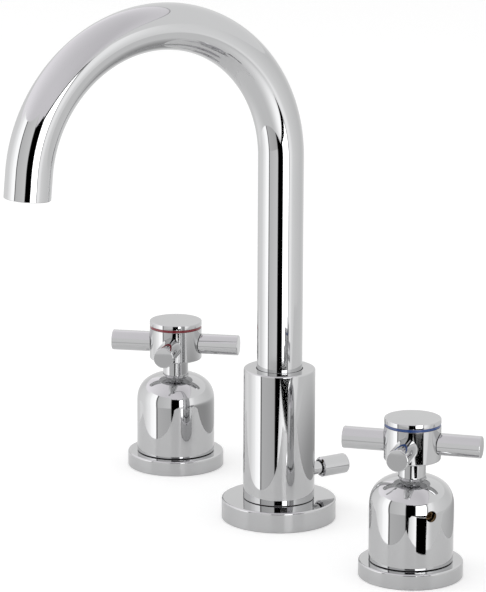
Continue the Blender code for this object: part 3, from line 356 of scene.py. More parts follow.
# %% How high the screens stand
SCREEN_SIDES = 180
SCREEN_DISTANCE = 1.6
SCREEN_FOOT = -1.9
SCREEN_STEP = -0.34
SCREEN_TOP = 0.515
RAIL_DISTANCE = SCREEN_DISTANCE + 0.01
RAIL_TOP = 0.60
RAISED_TOPS = (
    (-181.0, -96.0, 0.67),
    (-96.0, -15.0, 0.90),
    (-15.0, 5.0, 0.65),
    (46.0, 181.0, 0.67),
)
print("screens from", SCREEN_FOOT, "m up to", max(row[2] for row in RAISED_TOPS), "m")

# %% [markdown]
# The ring is a circle extruded upwards into a wall, and the top edge is then moved up where it is
# raised. Its glow is a colour ramp over the angle, worked out from the x and y of each point. The
# ramp holds shares of the brightest level, and the multiplication comes last.

# %% A ring of screens that only the metal mirrors
BRIGHTEST = 4.0
BACK = CAMERA_PLACE.to_2d().normalized()


def degrees_right(x, y):
    """The angle to the right of the way back to the camera."""
    return math.degrees(math.atan2(y * BACK.x - x * BACK.y, x * BACK.x + y * BACK.y))


def screen_level(screens):
    """The level round the ring, as a ramp over the angle."""
    stops = []
    for start, end, first, last in screens.values():
        for angle, level in ((start, first), (end, last)):
            stops.append((angle / 360.0 + 0.5, level / BRIGHTEST))

    def ring_level(graph, x, y):
        ahead = x * BACK.x + y * BACK.y
        right = y * BACK.x - x * BACK.y
        around = right.math("ARCTAN2", ahead) * (1.0 / math.tau) + 0.5
        return graph.node("ShaderNodeValToRGB", {"stops": stops}, {"Fac": around}) * BRIGHTEST

    return ring_level


def screen_ring(name, screens, foot, top, raised_tops=(), distance=SCREEN_DISTANCE):
    """A ring of screens between two heights. Its top is raised between the angles given."""
    begin_circle(SCREEN_SIDES, distance, (0.0, 0.0, foot))
    push((0.0, 0.0, top - foot))
    for start, end, raised_top in raised_tops:
        pick(lambda spot: abs(spot.z - top) < WELD and start < degrees_right(spot.x, spot.y) < end)
        bpy.ops.transform.translate(value=(0.0, 0.0, raised_top - top))
    bpy.ops.object.mode_set(mode="OBJECT")
    glowing(stage_prop(name, True), screen_level(screens))


screen_ring("screens_above", SCREENS, SCREEN_STEP, SCREEN_TOP, RAISED_TOPS)
screen_ring("screens_below", LOW_SCREENS, SCREEN_FOOT, SCREEN_STEP)
screen_ring("screen_rail", TOP_EDGE, SCREEN_TOP, RAIL_TOP, distance=RAIL_DISTANCE)
print("the ring stands", SCREEN_DISTANCE, "m from the spout")

# %% [markdown]
# The floor is what the camera sees: white, with the object's soft shadow. It stands level with
# the deck, so the clamping parts below the deck are hidden as they are on a real basin. The metal
# mirrors other things, and only mirrored rays see them. The faucet stands on a pale board about
# 40 cm wide, whose front edge is the curved line across the bells in the photograph.

# %% Floor and mirrored board
FLOOR_SIZE = 16.0
FLOOR_DROP = 0.05 * MM
FLOOR_ROUGHNESS = 0.3
BOARD_LOW = Vector((-0.200, -0.077))
BOARD_HIGH = Vector((0.188, 0.081))


def painted(prop, name, level, lift, gloss):
    """Paint a prop a matt grey that camera and mirrors see a little lighter than it is lit."""
    material, graph = new_material(name)
    graph.close(graph.node("ShaderNodeBsdfPrincipled", {}, {
        "Base Color": (level, level, level, 1.0),
        "Roughness": FLOOR_ROUGHNESS,
        "Specular IOR Level": gloss,
        "Emission Color": (1.0, 1.0, 1.0, 1.0),
        "Emission Strength": seen_directly(graph) * lift,
    }))
    prop.data.materials.append(material)


def add_sheet(low, high, height):
    """A level sheet between two corners, divided a little."""
    only()
    middle = (low + high) / 2
    bpy.ops.mesh.primitive_plane_add(size=1.0, location=(middle.x, middle.y, height))
    bpy.ops.object.mode_set(mode="EDIT")
    bpy.ops.transform.resize(value=(high.x - low.x, high.y - low.y, 1.0))
    bpy.ops.mesh.subdivide(number_cuts=3)
    bpy.ops.object.mode_set(mode="OBJECT")
    bpy.ops.object.transform_apply()


corner = Vector((FLOOR_SIZE, FLOOR_SIZE)) / 2
add_sheet(-corner, corner, -FLOOR_DROP)
painted(stage_prop("floor", False), "white_floor", level=0.88, lift=0.26, gloss=0.0)
add_sheet(BOARD_LOW, BOARD_HIGH, 0.0)
painted(stage_prop("mirrored_board", True), "pale_board", level=0.80, lift=0.08, gloss=0.08)
print("board in mm:", [round(side / MM) for side in BOARD_HIGH - BOARD_LOW])

# %% [markdown]
# Behind the board the deck goes on, with the faucet's shadow painted on it as a soft dark spot
# behind the spout. A level that changes is put together from thresholds. Each goes softly from 0 to
# 1 over a distance, and is multiplied by what it adds there or takes away.

# %% The deck behind the board
DECK_LOW = Vector((-0.45, BOARD_HIGH.y))
DECK_HIGH = Vector((BOARD_HIGH.x, 0.45))
DECK_LEVEL = 0.86
PAINTED_SHADOW = (-0.01, 0.09, 0.26)
PAINTED_SHADOW_DEPTH = 0.46


def nearness(graph, x, y, spot, stretch=1.0):
    """Goes softly from 0 at a spot's radius to 1 at its middle. Spots are (x, y, radius)."""
    across = x - spot[0]
    along = (y - spot[1]) * stretch
    return graph.threshold((across * across + along * along).math("SQRT"), spot[2], 0.1 * spot[2])


def deck_level(graph, x, y):
    # The faucet's painted shadow darkens the deck round the spot.
    return nearness(graph, x, y, PAINTED_SHADOW) * -PAINTED_SHADOW_DEPTH + DECK_LEVEL


add_sheet(DECK_LOW, DECK_HIGH, 0.0)
glowing(stage_prop("deck_behind", True), deck_level)
print("deck level:", DECK_LEVEL, "and in the dark spot", round(DECK_LEVEL - PAINTED_SHADOW_DEPTH, 2))

# %% [markdown]
# In front of the board and beside it the metal looks down to a lower pale floor. A pool of light is
# painted on it towards the right soft box, and a little painted light in its near left corner too.

# %% The low floor
LOW_FLOOR = -0.287
LOW_FLOOR_LOW = Vector((-1.5, -0.675))
LOW_FLOOR_HIGH = Vector((1.177, 1.5))
LOW_FLOOR_LEVEL = 0.85
LIGHT_POOL = (1.13, -0.235, 0.87)
LIGHT_POOL_STRETCH = 1.25
LIGHT_POOL_RISE = 0.85
LEFT_CORNER_X = (0.0, -0.8)
LEFT_CORNER_Y = (0.0, -0.5)
LEFT_CORNER_LIGHT = 0.25


def low_floor_level(graph, x, y):
    # A painted pool of light and painted light in the near left corner raise the floor's level.
    left = graph.threshold(x, *LEFT_CORNER_X) * graph.threshold(y, *LEFT_CORNER_Y)
    glow = nearness(graph, x, y, LIGHT_POOL, LIGHT_POOL_STRETCH)
    return glow * LIGHT_POOL_RISE + left * LEFT_CORNER_LIGHT + LOW_FLOOR_LEVEL


add_sheet(LOW_FLOOR_LOW, LOW_FLOOR_HIGH, LOW_FLOOR)
glowing(stage_prop("low_floor", True), low_floor_level)
print("low floor at", LOW_FLOOR, "m, its level", LOW_FLOOR_LEVEL, "to", LOW_FLOOR_LEVEL + LIGHT_POOL_RISE)

# %% [markdown]
# A grey panel with a dark edge hangs overhead. The top of the arch mirrors it, with a touch of
# lilac. Its level rises towards three sides: the first number of a rise says where it begins, the
# second where it is complete and the third by how much.

# %% The overhead panel
PANEL_HEIGHT = 1.76
PANEL_HALF = 6.0
PANEL_EDGE = 0.90
PANEL_FRAME = 0.02
PANEL_FRAME_BLUR = 0.01
PANEL_FRAME_DEPTH = 0.45
PANEL_LEVEL = 0.84
PANEL_NEAR_RISE = (0.4, -1.5, 0.11)
PANEL_FAR_RISE = (0.1, 0.85, 0.14)
PANEL_LEFT_RISE = (1.0, -2.5, 0.30)
PANEL_COLOUR = (0.990, 0.965, 1.0)


def panel_level(graph, x, y):
    level = PANEL_LEVEL
    for place, rise in ((y, PANEL_NEAR_RISE), (y, PANEL_FAR_RISE), (x, PANEL_LEFT_RISE)):
        level = graph.threshold(place, *rise[:2]) * rise[2] + level
    frame_line = PANEL_EDGE - PANEL_FRAME
    dark = graph.threshold(y, frame_line - PANEL_FRAME_BLUR, frame_line)
    return level * (1.0 - dark * PANEL_FRAME_DEPTH)


add_sheet(Vector((-PANEL_HALF, -PANEL_HALF)), Vector((PANEL_HALF, PANEL_EDGE)), PANEL_HEIGHT)
glowing(stage_prop("overhead_panel", True), panel_level, PANEL_COLOUR)
print("panel overhead at", PANEL_HEIGHT, "m")

# %% [markdown]
# A small black card stands upright at the board's right end, where the cold valve mirrors it.

# %% The black card
CARD_PLACE = Vector((0.181, -0.010, 0.0095))
CARD_SIZE = Vector((0.030, 0.019))

only()
upright = (math.pi / 2, 0.0, math.pi / 2)
bpy.ops.mesh.primitive_plane_add(size=1.0, location=CARD_PLACE, rotation=upright)
bpy.context.object.scale = (*CARD_SIZE, 1.0)
bpy.ops.object.transform_apply()
glowing(stage_prop("black_card", True), lambda graph, x, y: 0.0)
print("black card in mm:", [round(side / MM) for side in CARD_SIZE])

# %% [markdown]
# One broad lamp overhead and one from the left front give the matt pieces their soft modelling.
# A lamp of P watts at distance d lights a matt surface to about P / (10 * d * d) of its colour, so
# the two lamps add the quarter that the world leaves out. Chrome doesn't mirror them: its soft
# boxes are already on the ring.

# %% Soft lamps
LAMPS = {
    "overhead_lamp": ((0.15, -0.25, 1.9), 1.6, 6.6),
    "front_lamp": ((-1.1, -1.5, 1.1), 1.1, 3.6),
}

for name, (place, size, power) in LAMPS.items():
    only()
    aim = (-Vector(place)).to_track_quat("-Z", "Y").to_euler()
    bpy.ops.object.light_add(type="AREA", location=place, rotation=aim)
    lamp = bpy.context.object
    lamp.name = name
    lamp.data.shape = "SQUARE"
    lamp.data.size = size
    lamp.data.energy = power
    lamp.visible_glossy = False
    print(name, "adds about", round(power / (math.pi ** 2 * Vector(place).length_squared), 2))

# %% [markdown]
# ## Finishes
#
# Nine finishes cover the faucet, one for each material slot of the record, and the set screws get
# one more further down. Each reads Object coordinates in metres, so a noise scale of 100 makes
# features of about a centimetre. What varies feeds only colour, roughness, coat and bump, which the
# export can bake.

# %% Start and close a finish


def begin_finish(name):
    material, graph = new_material(name)
    return material, graph, graph.node("ShaderNodeTexCoord", output="Object")


def close_finish(material, graph, inputs):
    graph.close(graph.node("ShaderNodeBsdfPrincipled", {}, inputs))
    return material


# %% [markdown]
# Chromium mirrors a little over half of the light, slightly more blue than red. Its plated surface
# isn't perfect: polishing leaves broad, faint changes of tone, wiped water leaves smudges that
# only change the gloss, and the plating has a very fine unevenness.

# %% Polished chrome


def polished_chrome():
    material, graph, spot = begin_finish("polished_chrome")
    plating = graph.noise(spot, 38.0, 3.0)
    smudge = graph.threshold(graph.noise(spot, 150.0, 5.0), 0.45, 0.75)
    grain = graph.noise(spot, 2600.0, 1.0)
    return close_finish(material, graph, {
        "Base Color": graph.mix(plating, (0.556, 0.558, 0.564), (0.580, 0.582, 0.587)),
        "Metallic": 1.0,
        "Roughness": smudge * 0.022 + grain * 0.012 + 0.028,
        "Normal": graph.bump(grain, 0.0006 * MM),
    })


# %% [markdown]
# Brass and steel parts are turned or stamped and left bare. A lathe leaves rings, so the noise is
# stretched: a Mapping node shrinks the pattern along Z and leaves it long around the piece.
# Bare brass also browns in patches where it was handled.

# %% Bare machined metals


def machined(name, pale, dark, tarnish, roughness):
    material, graph, spot = begin_finish(name)
    stretched = graph.node("ShaderNodeMapping", {}, {"Vector": spot, "Scale": (60.0, 60.0, 5200.0)})
    rings = graph.noise(stretched, 1.0, 3.0)
    patches = graph.threshold(graph.noise(spot, 110.0, 5.0), 0.40, 0.72)
    grain = graph.noise(spot, 3200.0, 2.0)
    return close_finish(material, graph, {
        "Base Color": graph.mix(patches * 0.55, graph.mix(rings, dark, pale), tarnish),
        "Metallic": 1.0,
        "Roughness": rings * 0.10 + patches * 0.12 + grain * 0.05 + roughness,
        "Normal": graph.bump(rings * 0.8 + grain * 0.2, 0.02 * MM),
    })


# %% [markdown]
# Rubber is dull and black with a dusty bloom, moulded plastic has an even fine grain, and fired
# ceramic is almost smooth, with tiny darker specks. One recipe serves them all.

# %% Rubber, plastics and ceramic


def moulded(name, colour, bloom, roughness, grain_scale, grain_depth, coat=0.0):
    material, graph, spot = begin_finish(name)
    cloud = graph.threshold(graph.noise(spot, 120.0, 4.0), 0.40, 0.75)
    grain = graph.noise(spot, grain_scale, 3.0)
    return close_finish(material, graph, {
        "Base Color": graph.mix(cloud * 0.7 + grain * 0.3, colour, bloom),
        "Metallic": 0.0,
        "Roughness": cloud * 0.08 + grain * 0.06 + roughness,
        "Coat Weight": cloud * (-0.1 * coat) + coat,
        "Normal": graph.bump(grain, grain_depth * MM),
    })


# %% [markdown]
# Each recipe's row starts with the finish's name and its colours. A machined metal adds its
# roughness. A moulded one adds its roughness, the scale and depth of its grain, and its coat.

# %% The finishes by the name of their slot
MACHINED = {
    "brass": ("bare_brass", (0.78, 0.60, 0.30), (0.66, 0.48, 0.21), (0.42, 0.28, 0.13), 0.20),
    "steel": ("stamped_steel", (0.64, 0.64, 0.65), (0.52, 0.52, 0.53), (0.44, 0.43, 0.42), 0.22),
}
MOULDED = {
    "rubber": ("black_rubber", (0.018, 0.018, 0.018), (0.045, 0.044, 0.043), 0.62, 2200.0, 0.030),
    "ceramic": ("fired_ceramic", (0.84, 0.84, 0.81), (0.78, 0.77, 0.74), 0.16, 1800.0, 0.004, 0.3),
    "dark_plastic": ("dark_plastic", (0.030, 0.030, 0.036), (0.050, 0.050, 0.058), 0.34, 1700.0, 0.010),
    "pale_plastic": ("pale_plastic", (0.80, 0.80, 0.79), (0.72, 0.72, 0.71), 0.32, 1700.0, 0.010),
    "hot_red": ("red_index", (0.22, 0.005, 0.016), (0.18, 0.004, 0.012), 0.22, 1500.0, 0.006, 0.5),
    "cold_blue": ("blue_index", (0.011, 0.055, 0.23), (0.009, 0.044, 0.19), 0.22, 1500.0, 0.006, 0.5),
}
FINISH = {"chrome": polished_chrome()}
FINISH.update({slot: machined(*recipe) for slot, recipe in MACHINED.items()})
FINISH.update({slot: moulded(*recipe) for slot, recipe in MOULDED.items()})
print("finishes:", ", ".join(FINISH))

# %% [markdown]
# ## Modelling helpers
#
# Nearly every piece of a faucet comes off a lathe, so nearly every piece here is turned. An
# outline is drawn as a chain of vertices, its corners are bevelled while they are still points,
# and Spin carries it once round the axis. Outlines are lists of (radius, height) in millimetres;
# a third number rounds that corner.

# %% Close a mesh
ROUND_STEPS = 4
FINE_SIDES = 160
WIDE_SIDES = 128
USUAL_SIDES = 96
SMALL_SIDES = 64
SLIM_SIDES = 48


def close_mesh():
    """Merge doubled vertices, turn all faces outwards and leave edit mode."""
    bpy.ops.mesh.select_mode(type="VERT")
    bpy.ops.mesh.select_all(action="SELECT")
    bpy.ops.mesh.remove_doubles(threshold=WELD)
    bpy.ops.mesh.select_all(action="SELECT")
    bpy.ops.mesh.normals_make_consistent(inside=False)
    bpy.ops.object.mode_set(mode="OBJECT")
    return bpy.context.object


# %% [markdown]
# The outline starts as a tiny plane merged to a single vertex, which is extruded from corner to
# corner. A corner is rounded by bevelling its vertex, which costs far less than bevelling the ring
# of edges that it becomes.

# %% Draw an outline and turn it


def trace(outline, closed):
    """Draw an outline as a chain of vertices in the XZ plane and round its marked corners."""
    only()
    spots = [Vector((corner[0], 0.0, corner[1])) * MM for corner in outline]
    bpy.ops.mesh.primitive_plane_add(size=MM, location=spots[0])
    bpy.ops.object.transform_apply()
    bpy.ops.object.mode_set(mode="EDIT")
    bpy.ops.mesh.merge(type="CENTER")
    onward = spots[1:] + spots[:1] if closed else spots[1:]
    for here, there in zip(spots, onward):
        bpy.ops.mesh.extrude_vertices_move(TRANSFORM_OT_translate={"value": there - here})
    bpy.ops.mesh.select_all(action="SELECT")
    bpy.ops.mesh.remove_doubles(threshold=WELD)
    for amount in sorted({corner[2] for corner in outline if len(corner) > 2}):
        marked = [spot for spot, corner in zip(spots, outline) if corner[2:] == (amount,)]
        pick(lambda middle: any((middle - spot).length < WELD for spot in marked))
        bpy.ops.mesh.bevel(offset=amount * MM, segments=ROUND_STEPS, affect="VERTICES")


def turned(outline, sides=USUAL_SIDES):
    """Spin an outline once round Z. It closes on itself unless it starts and ends on the axis."""
    trace(outline, closed=outline[0][0] > 0 or outline[-1][0] > 0)
    bpy.ops.mesh.select_all(action="SELECT")
    bpy.ops.mesh.spin(steps=sides, angle=math.tau, center=(0, 0, 0), axis=(0, 0, 1))
    return close_mesh()


# %% [markdown]
# A few more moves are shared: laying a turned piece on its side, cutting one piece with another and
# joining pieces. A Boolean modifier does the cutting and is applied at once, so no tool is left
# behind.

# %% Lay, cut, join
CENTRE = Matrix.Identity(4)


def laid(piece, place):
    """Move a piece by a matrix and put the move into its mesh."""
    only(piece)
    piece.matrix_world = place
    bpy.ops.object.transform_apply()
    return piece


def apply_modifier(piece, kind, **settings):
    only(piece)
    bpy.ops.object.modifier_add(type=kind)
    modifier = piece.modifiers[-1]
    for key, setting in settings.items():
        setattr(modifier, key, setting)
    bpy.ops.object.modifier_apply(modifier=modifier.name)
    return piece


def remove(piece):
    only(piece)
    bpy.ops.object.delete()


def carved(piece, tool, operation="DIFFERENCE"):
    """Cut a tool from a piece, weld it on, or keep what both fill."""
    apply_modifier(piece, "BOOLEAN", operation=operation, object=tool, solver="EXACT")
    remove(tool)
    return piece


def joined(piece, *others):
    only(piece, *others)
    bpy.ops.object.join()
    return piece


# %% [markdown]
# Two plain shapes come up again and again. Round bars serve as drills too, and hexagonal ones make
# nuts and keys. A hexagon needs no lathe: it is a circle with six sides, pushed up.

# %% Round and hexagonal bars


def round_bar(radius, low, high, sides=SLIM_SIDES, place=CENTRE):
    """A plain bar or drill along Z between two heights, then laid in its place."""
    return laid(turned([(0.0, low), (radius, low), (radius, high), (0.0, high)], sides), place)


def hexagon_bar(flat_radius, low, high):
    """A hexagonal bar along Z, given by the distance from its axis to a flat."""
    corner = flat_radius / math.cos(math.pi / 6) * MM
    begin_circle(6, corner, (0.0, 0.0, low * MM), fill_type="NGON")
    push((0.0, 0.0, (high - low) * MM))
    return close_mesh()


# %% [markdown]
# A thread is one small tooth carried up a helix by the Screw modifier. It is modelled as a closed
# ridge that sits on the shank's root and is then joined to it, which keeps the shank itself plain.
# Its foot is sunk a little, and shares of the pitch say where its crest starts and ends.

# %% Threads
RIDGE_SUNK = 0.1
CREST_SHARES = (0.40, 0.55)
FOOT_SHARE = 0.95


def ridge(root, crest, low, high, pitch, sides=40):
    """The helical ridge of a thread between two heights, its ends closed."""
    turns = int((high - low) / pitch) - 1
    tooth = [
        (root - RIDGE_SUNK, low),
        (crest, low + CREST_SHARES[0] * pitch),
        (crest, low + CREST_SHARES[1] * pitch),
        (root - RIDGE_SUNK, low + FOOT_SHARE * pitch),
    ]
    trace(tooth, closed=True)
    bpy.ops.object.mode_set(mode="OBJECT")
    helix = apply_modifier(bpy.context.object, "SCREW", axis="Z", angle=math.tau,
                           screw_offset=pitch * MM, iterations=turns, steps=sides, render_steps=sides)
    only(helix)
    bpy.ops.object.mode_set(mode="EDIT")
    bpy.ops.mesh.select_all(action="SELECT")
    bpy.ops.mesh.fill_holes(sides=6)
    return close_mesh()


# %% [markdown]
# A finished model is shaded smooth up to an angle. Weighted normals keep flat faces truly flat
# next to a rounded edge, which matters on a mirror. It is then copied to each place where the
# faucet has such a piece: every copy gets its own mesh, stands for the CAD node of that place and
# rides on that node's body.

# %% Set a model in its places
SMOOTH_ANGLE = math.radians(34.0)


def fit(model, finish, places):
    """Copy a model to the places of CAD nodes. The finish is a slot, or a dict of them by node."""
    only(model)
    bpy.ops.object.shade_smooth_by_angle(angle=SMOOTH_ANGLE)
    apply_modifier(model, "WEIGHTED_NORMAL", keep_sharp=True)
    model.data.materials.clear()
    for node, place in places.items():
        only(model)
        bpy.ops.object.duplicate(linked=False)
        piece = bpy.context.object
        piece.name = piece.data.name = node + "_piece"
        slot = finish[node] if isinstance(finish, dict) else finish
        piece.data.materials.append(FINISH[slot])
        laid(piece, place)
        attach(piece, BODY_OF[node])
        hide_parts(node)
    print(", ".join(places), "-", len(model.data.polygons), "faces each")
    remove(model)


# %% [markdown]
# ## Where things stand
#
# The valve axes are read from the frame, so each piece lies exactly where its solid does. The turns
# of the set screws and of the cross handles are written here, the same as in the solids. A place is
# a matrix. The cold valve is the hot one turned half round, because both outlets face the spout.

# %% Places


def node_middle(node):
    low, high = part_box(node)
    return (low + high) / 2


def standing(side, turn_deg=0.0):
    """The place of a piece on a valve's axis, turned about it."""
    middle = node_middle(side + "_cap")
    middle.z = 0.0
    return Matrix.Translation(middle) @ Matrix.Rotation(math.radians(turn_deg), 4, "Z")


SIDES = ("hot", "cold")
TOWARDS_SPOUT_DEG = {"hot": 0.0, "cold": 180.0}
SCREW_DEG = {"hot": 187.0, "cold": -7.0}
SPOKE_DEG = {"hot": 48.0, "cold": 43.0}
ALONG_X = Matrix.Rotation(math.pi / 2, 4, "Y")
BACKWARD = Matrix.Rotation(-math.pi / 2, 4, "X")


def shifted(x, y, z):
    """A place given in millimetres."""
    return Matrix.Translation((x * MM, y * MM, z * MM))


def raised(height):
    return shifted(0.0, 0.0, height)


def on_both(kind, turns=None):
    """Places of a piece that both valves have."""
    return {f"{side}_{kind}": standing(side, (turns or {}).get(side, 0.0)) for side in SIDES}


print("valves stand at x =", [round(standing(side).translation.x / MM, 1) for side in SIDES], "mm")

# %% [markdown]
# ## Flanges
#
# A flange is the round plate that covers the hole in the deck. It is a thin turned disc with a
# rounded rim and a foot ring, hollow below for its gasket. The spout's flange is larger and
# slightly crowned. The rounded rim is what draws the thin light line round it in the photograph.

# %% Flanges and gaskets
SPOUT_BORE = 14.3
VALVE_BORE = 14.8
SPOUT_FLANGE_RADIUS = 29.0
VALVE_FLANGE_RADIUS = 25.4
FOOT_WIDTH = 3.5
RECESS_HEIGHT = 2.5
GASKET_HEIGHT = 2.2
GASKET_PLAY = 0.3


def flange(radius, height, crown, bore):
    return turned([
        (bore, RECESS_HEIGHT),
        (bore, height + crown, 0.2),
        (radius, height, 0.9),
        (radius, 0.0, 0.4),
        (radius - FOOT_WIDTH, 0.0, 0.2),
        (radius - FOOT_WIDTH, RECESS_HEIGHT, 0.2),
    ], WIDE_SIDES)


def gasket(flange_radius, bore):
    """It fills the recess of its flange."""
    outer = flange_radius - FOOT_WIDTH - GASKET_PLAY
    corners = ((bore, 0.0), (bore, GASKET_HEIGHT), (outer, GASKET_HEIGHT), (outer, 0.0))
    return turned([(*corner, 0.3) for corner in corners], SMALL_SIDES)


fit(flange(SPOUT_FLANGE_RADIUS, 10.4, 0.25, SPOUT_BORE), "chrome", {"spout_flange": CENTRE})
fit(flange(VALVE_FLANGE_RADIUS, 7.8, 0.0, VALVE_BORE), "chrome", on_both("flange"))
fit(gasket(SPOUT_FLANGE_RADIUS, SPOUT_BORE), "rubber", {"spout_gasket": CENTRE})
fit(gasket(VALVE_FLANGE_RADIUS, VALVE_BORE), "rubber", on_both("gasket"))

# %% [markdown]
# ## The sleeve and its bush
#
# The sleeve is the wide tube that the gooseneck rises from. Its closed top has a rounded edge and
# a hole in which a dark plastic bush shows as a hairline round the gooseneck. At the back, a slot
# with round ends lets the lift arm out. The slot's cutter is a circle pulled into a stadium:
# the upper half is picked and moved up by the rod's travel, then the outline is pushed through.

# %% Sleeve
SLEEVE_RADIUS = 18.1
SLEEVE_BORE = 16.1
SLEEVE_FOOT = 10.85
SLEEVE_TOP = 78.2
SLEEVE_ROOF = 75.2
SLEEVE_HOLE = 11.80
SLOT_HALF_WIDTH = 3.8
LIFT_HEIGHT = 22.2
LIFT_TRAVEL = 20.0


def stadium_cutter(half_width, low, high, near, far):
    """A round-ended cutter that runs along +Y, between two heights."""
    begin_circle(SMALL_SIDES, half_width * MM, (0.0, near * MM, low * MM), fill_type="NGON",
                 rotation=(math.pi / 2, 0.0, 0.0))
    pick(lambda spot: spot.z > low * MM - WELD)
    bpy.ops.transform.translate(value=(0.0, 0.0, (high - low) * MM))
    bpy.ops.mesh.select_all(action="SELECT")
    push((0.0, (far - near) * MM, 0.0))
    return close_mesh()


sleeve = turned([
    (SLEEVE_BORE, SLEEVE_FOOT),
    (SLEEVE_BORE, SLEEVE_ROOF, 0.5),
    (SLEEVE_HOLE, SLEEVE_ROOF),
    (SLEEVE_HOLE, SLEEVE_TOP, 0.15),
    (SLEEVE_RADIUS, SLEEVE_TOP, 0.8),
    (SLEEVE_RADIUS, SLEEVE_FOOT, 0.2),
], WIDE_SIDES)
slot_cutter = stadium_cutter(SLOT_HALF_WIDTH, LIFT_HEIGHT, LIFT_HEIGHT + LIFT_TRAVEL, 8.0, 20.0)
fit(carved(sleeve, slot_cutter), "chrome", {"spout_sleeve": CENTRE})

# %% [markdown]
# The gooseneck turns in the bush, so on the real faucet it is slippery plastic. It sits just below
# the sleeve's top, and a thin collar reaches up through the hole. Between collar and gooseneck lies
# a tenth of a millimetre.

# %% Swivel bush
BUSH_BORE = 11.55
BUSH_COLLAR = 11.75
BUSH_RADIUS = 15.8

bush = turned([
    (BUSH_BORE, 66.9, 0.3),
    (BUSH_RADIUS, 66.9, 0.3),
    (BUSH_RADIUS, 74.9, 0.3),
    (BUSH_COLLAR, 74.9),
    (BUSH_COLLAR, 77.8, 0.08),
    (BUSH_BORE, 77.8, 0.08),
])
fit(bush, "dark_plastic", {"swivel_bush": CENTRE})

# %% [markdown]
# ## The gooseneck
#
# The real tube is bent on a machine from one straight length, so it is modelled the same way: a
# circle is pulled up into the column, spun about the centre of the arch, and pushed on for the
# short straight end. Solidify then gives the tube its wall, and a bevel breaks the sharp rims.

# %% Gooseneck tube
TUBE_RADIUS = 11.45
TUBE_WALL = 1.6
TUBE_FOOT = 66.3
ARCH_RADIUS = 71.3
ARCH_CENTRE = 186.8
ARCH_SWEEP = math.radians(175.0)
ARCH_STEPS = 112
TIP_LENGTH = 11.8
TIP_ALONG = Vector((0.0, -math.sin(ARCH_SWEEP), math.cos(ARCH_SWEEP)))


def gooseneck():
    begin_circle(USUAL_SIDES, TUBE_RADIUS * MM, (0.0, 0.0, TUBE_FOOT * MM))
    push((0.0, 0.0, (ARCH_CENTRE - TUBE_FOOT) * MM))
    centre = (0.0, -ARCH_RADIUS * MM, ARCH_CENTRE * MM)
    bpy.ops.mesh.spin(steps=ARCH_STEPS, angle=ARCH_SWEEP, center=centre, axis=(-1, 0, 0))
    push(TIP_ALONG * TIP_LENGTH * MM)
    tube = close_mesh()
    apply_modifier(tube, "SOLIDIFY", thickness=TUBE_WALL * MM, offset=-1.0, use_even_offset=True)
    return apply_modifier(tube, "BEVEL", width=0.35 * MM, segments=3, limit_method="ANGLE",
                          angle_limit=math.radians(60.0))


fit(gooseneck(), "chrome", {"spout_tube": CENTRE})

# %% [markdown]
# ## The aerator
#
# In the tip a threaded chrome ring holds a plastic flow straightener, a honeycomb that calms the
# jet. Both pieces are made standing on the deck's middle and then moved into the slightly raked
# tip. The ring is turned, and its mouth widens a little.

# %% Where the tip is


def tip_place():
    """A frame at the tube's mouth: Z runs along the tube and out of it."""
    across = Vector((0.0, math.cos(ARCH_SWEEP), math.sin(ARCH_SWEEP)))
    arch_end = Vector((0.0, -ARCH_RADIUS, ARCH_CENTRE)) + across * ARCH_RADIUS
    turn = Matrix((Vector((1.0, 0.0, 0.0)), across, TIP_ALONG)).transposed().to_4x4()
    return Matrix.Translation((arch_end + TIP_ALONG * TIP_LENGTH) * MM) @ turn


SPOUT_TIP = tip_place()
AERATOR_BORE = 7.75
AERATOR_RADIUS = 9.55

housing = turned([
    (AERATOR_BORE, -9.6, 0.2),
    (AERATOR_RADIUS, -9.6, 0.2),
    (AERATOR_RADIUS, -0.6, 0.35),
    (8.3, -0.6, 0.3),
    (AERATOR_BORE, -1.3, 0.1),
])
fit(housing, "chrome", {"aerator_housing": SPOUT_TIP})

# %% [markdown]
# One cell of the straightener is a hexagon with an inset wall. The cells share walls, so the
# honeycomb is drawn flat, given its depth by Solidify, and joined to its round frame.

# %% Flow straightener
CELL_PITCH = 2.05
CELL_RINGS = 3
CELL_WALL = 0.22
CELL_DEPTH = 6.5
COMB_FLOOR = -7.9


def honeycomb():
    """Hexagons on a triangular grid, each inset by its wall and opened."""
    corner = CELL_PITCH / math.sqrt(3.0) * MM
    begin_circle(6, corner, (0.0, 0.0, 0.0), fill_type="NGON")
    bpy.ops.mesh.delete(type="VERT")
    for row in range(-CELL_RINGS, CELL_RINGS + 1):
        for column in range(-CELL_RINGS, CELL_RINGS + 1):
            if abs(row + column) > CELL_RINGS:
                continue
            x = CELL_PITCH * (column + row / 2)
            y = CELL_PITCH * row * math.sin(math.pi / 3)
            bpy.ops.mesh.select_all(action="DESELECT")
            bpy.ops.mesh.primitive_circle_add(vertices=6, radius=corner, fill_type="NGON",
                                              location=(x * MM, y * MM, COMB_FLOOR * MM))
            bpy.ops.mesh.inset(thickness=CELL_WALL * MM)
            bpy.ops.mesh.delete(type="FACE")
    return apply_modifier(close_mesh(), "SOLIDIFY", thickness=CELL_DEPTH * MM, offset=1.0)


comb = honeycomb()
comb_top = COMB_FLOOR + CELL_DEPTH
comb_rim = turned([
    (6.7, COMB_FLOOR),
    (7.45, COMB_FLOOR, 0.2),
    (7.45, comb_top, 0.3),
    (6.7, comb_top, 0.2),
])
fit(joined(comb, comb_rim), "pale_plastic", {"aerator_insert": SPOUT_TIP})

# %% [markdown]
# ## The lift rod
#
# Behind the spout a rod runs down through the deck to the drain's stopper. Its square head holds a
# short arm that comes out through the sleeve's slot and ends in a knob. The knob is a turned
# barrel with a hollow mouth round the arm, a chamfer there and a rounded outer end.

# %% Arm and knob
ROD_SETBACK = 10.2
ROD_PLACE = shifted(0.0, ROD_SETBACK, LIFT_HEIGHT)
LIFT_PLACE = ROD_PLACE @ BACKWARD

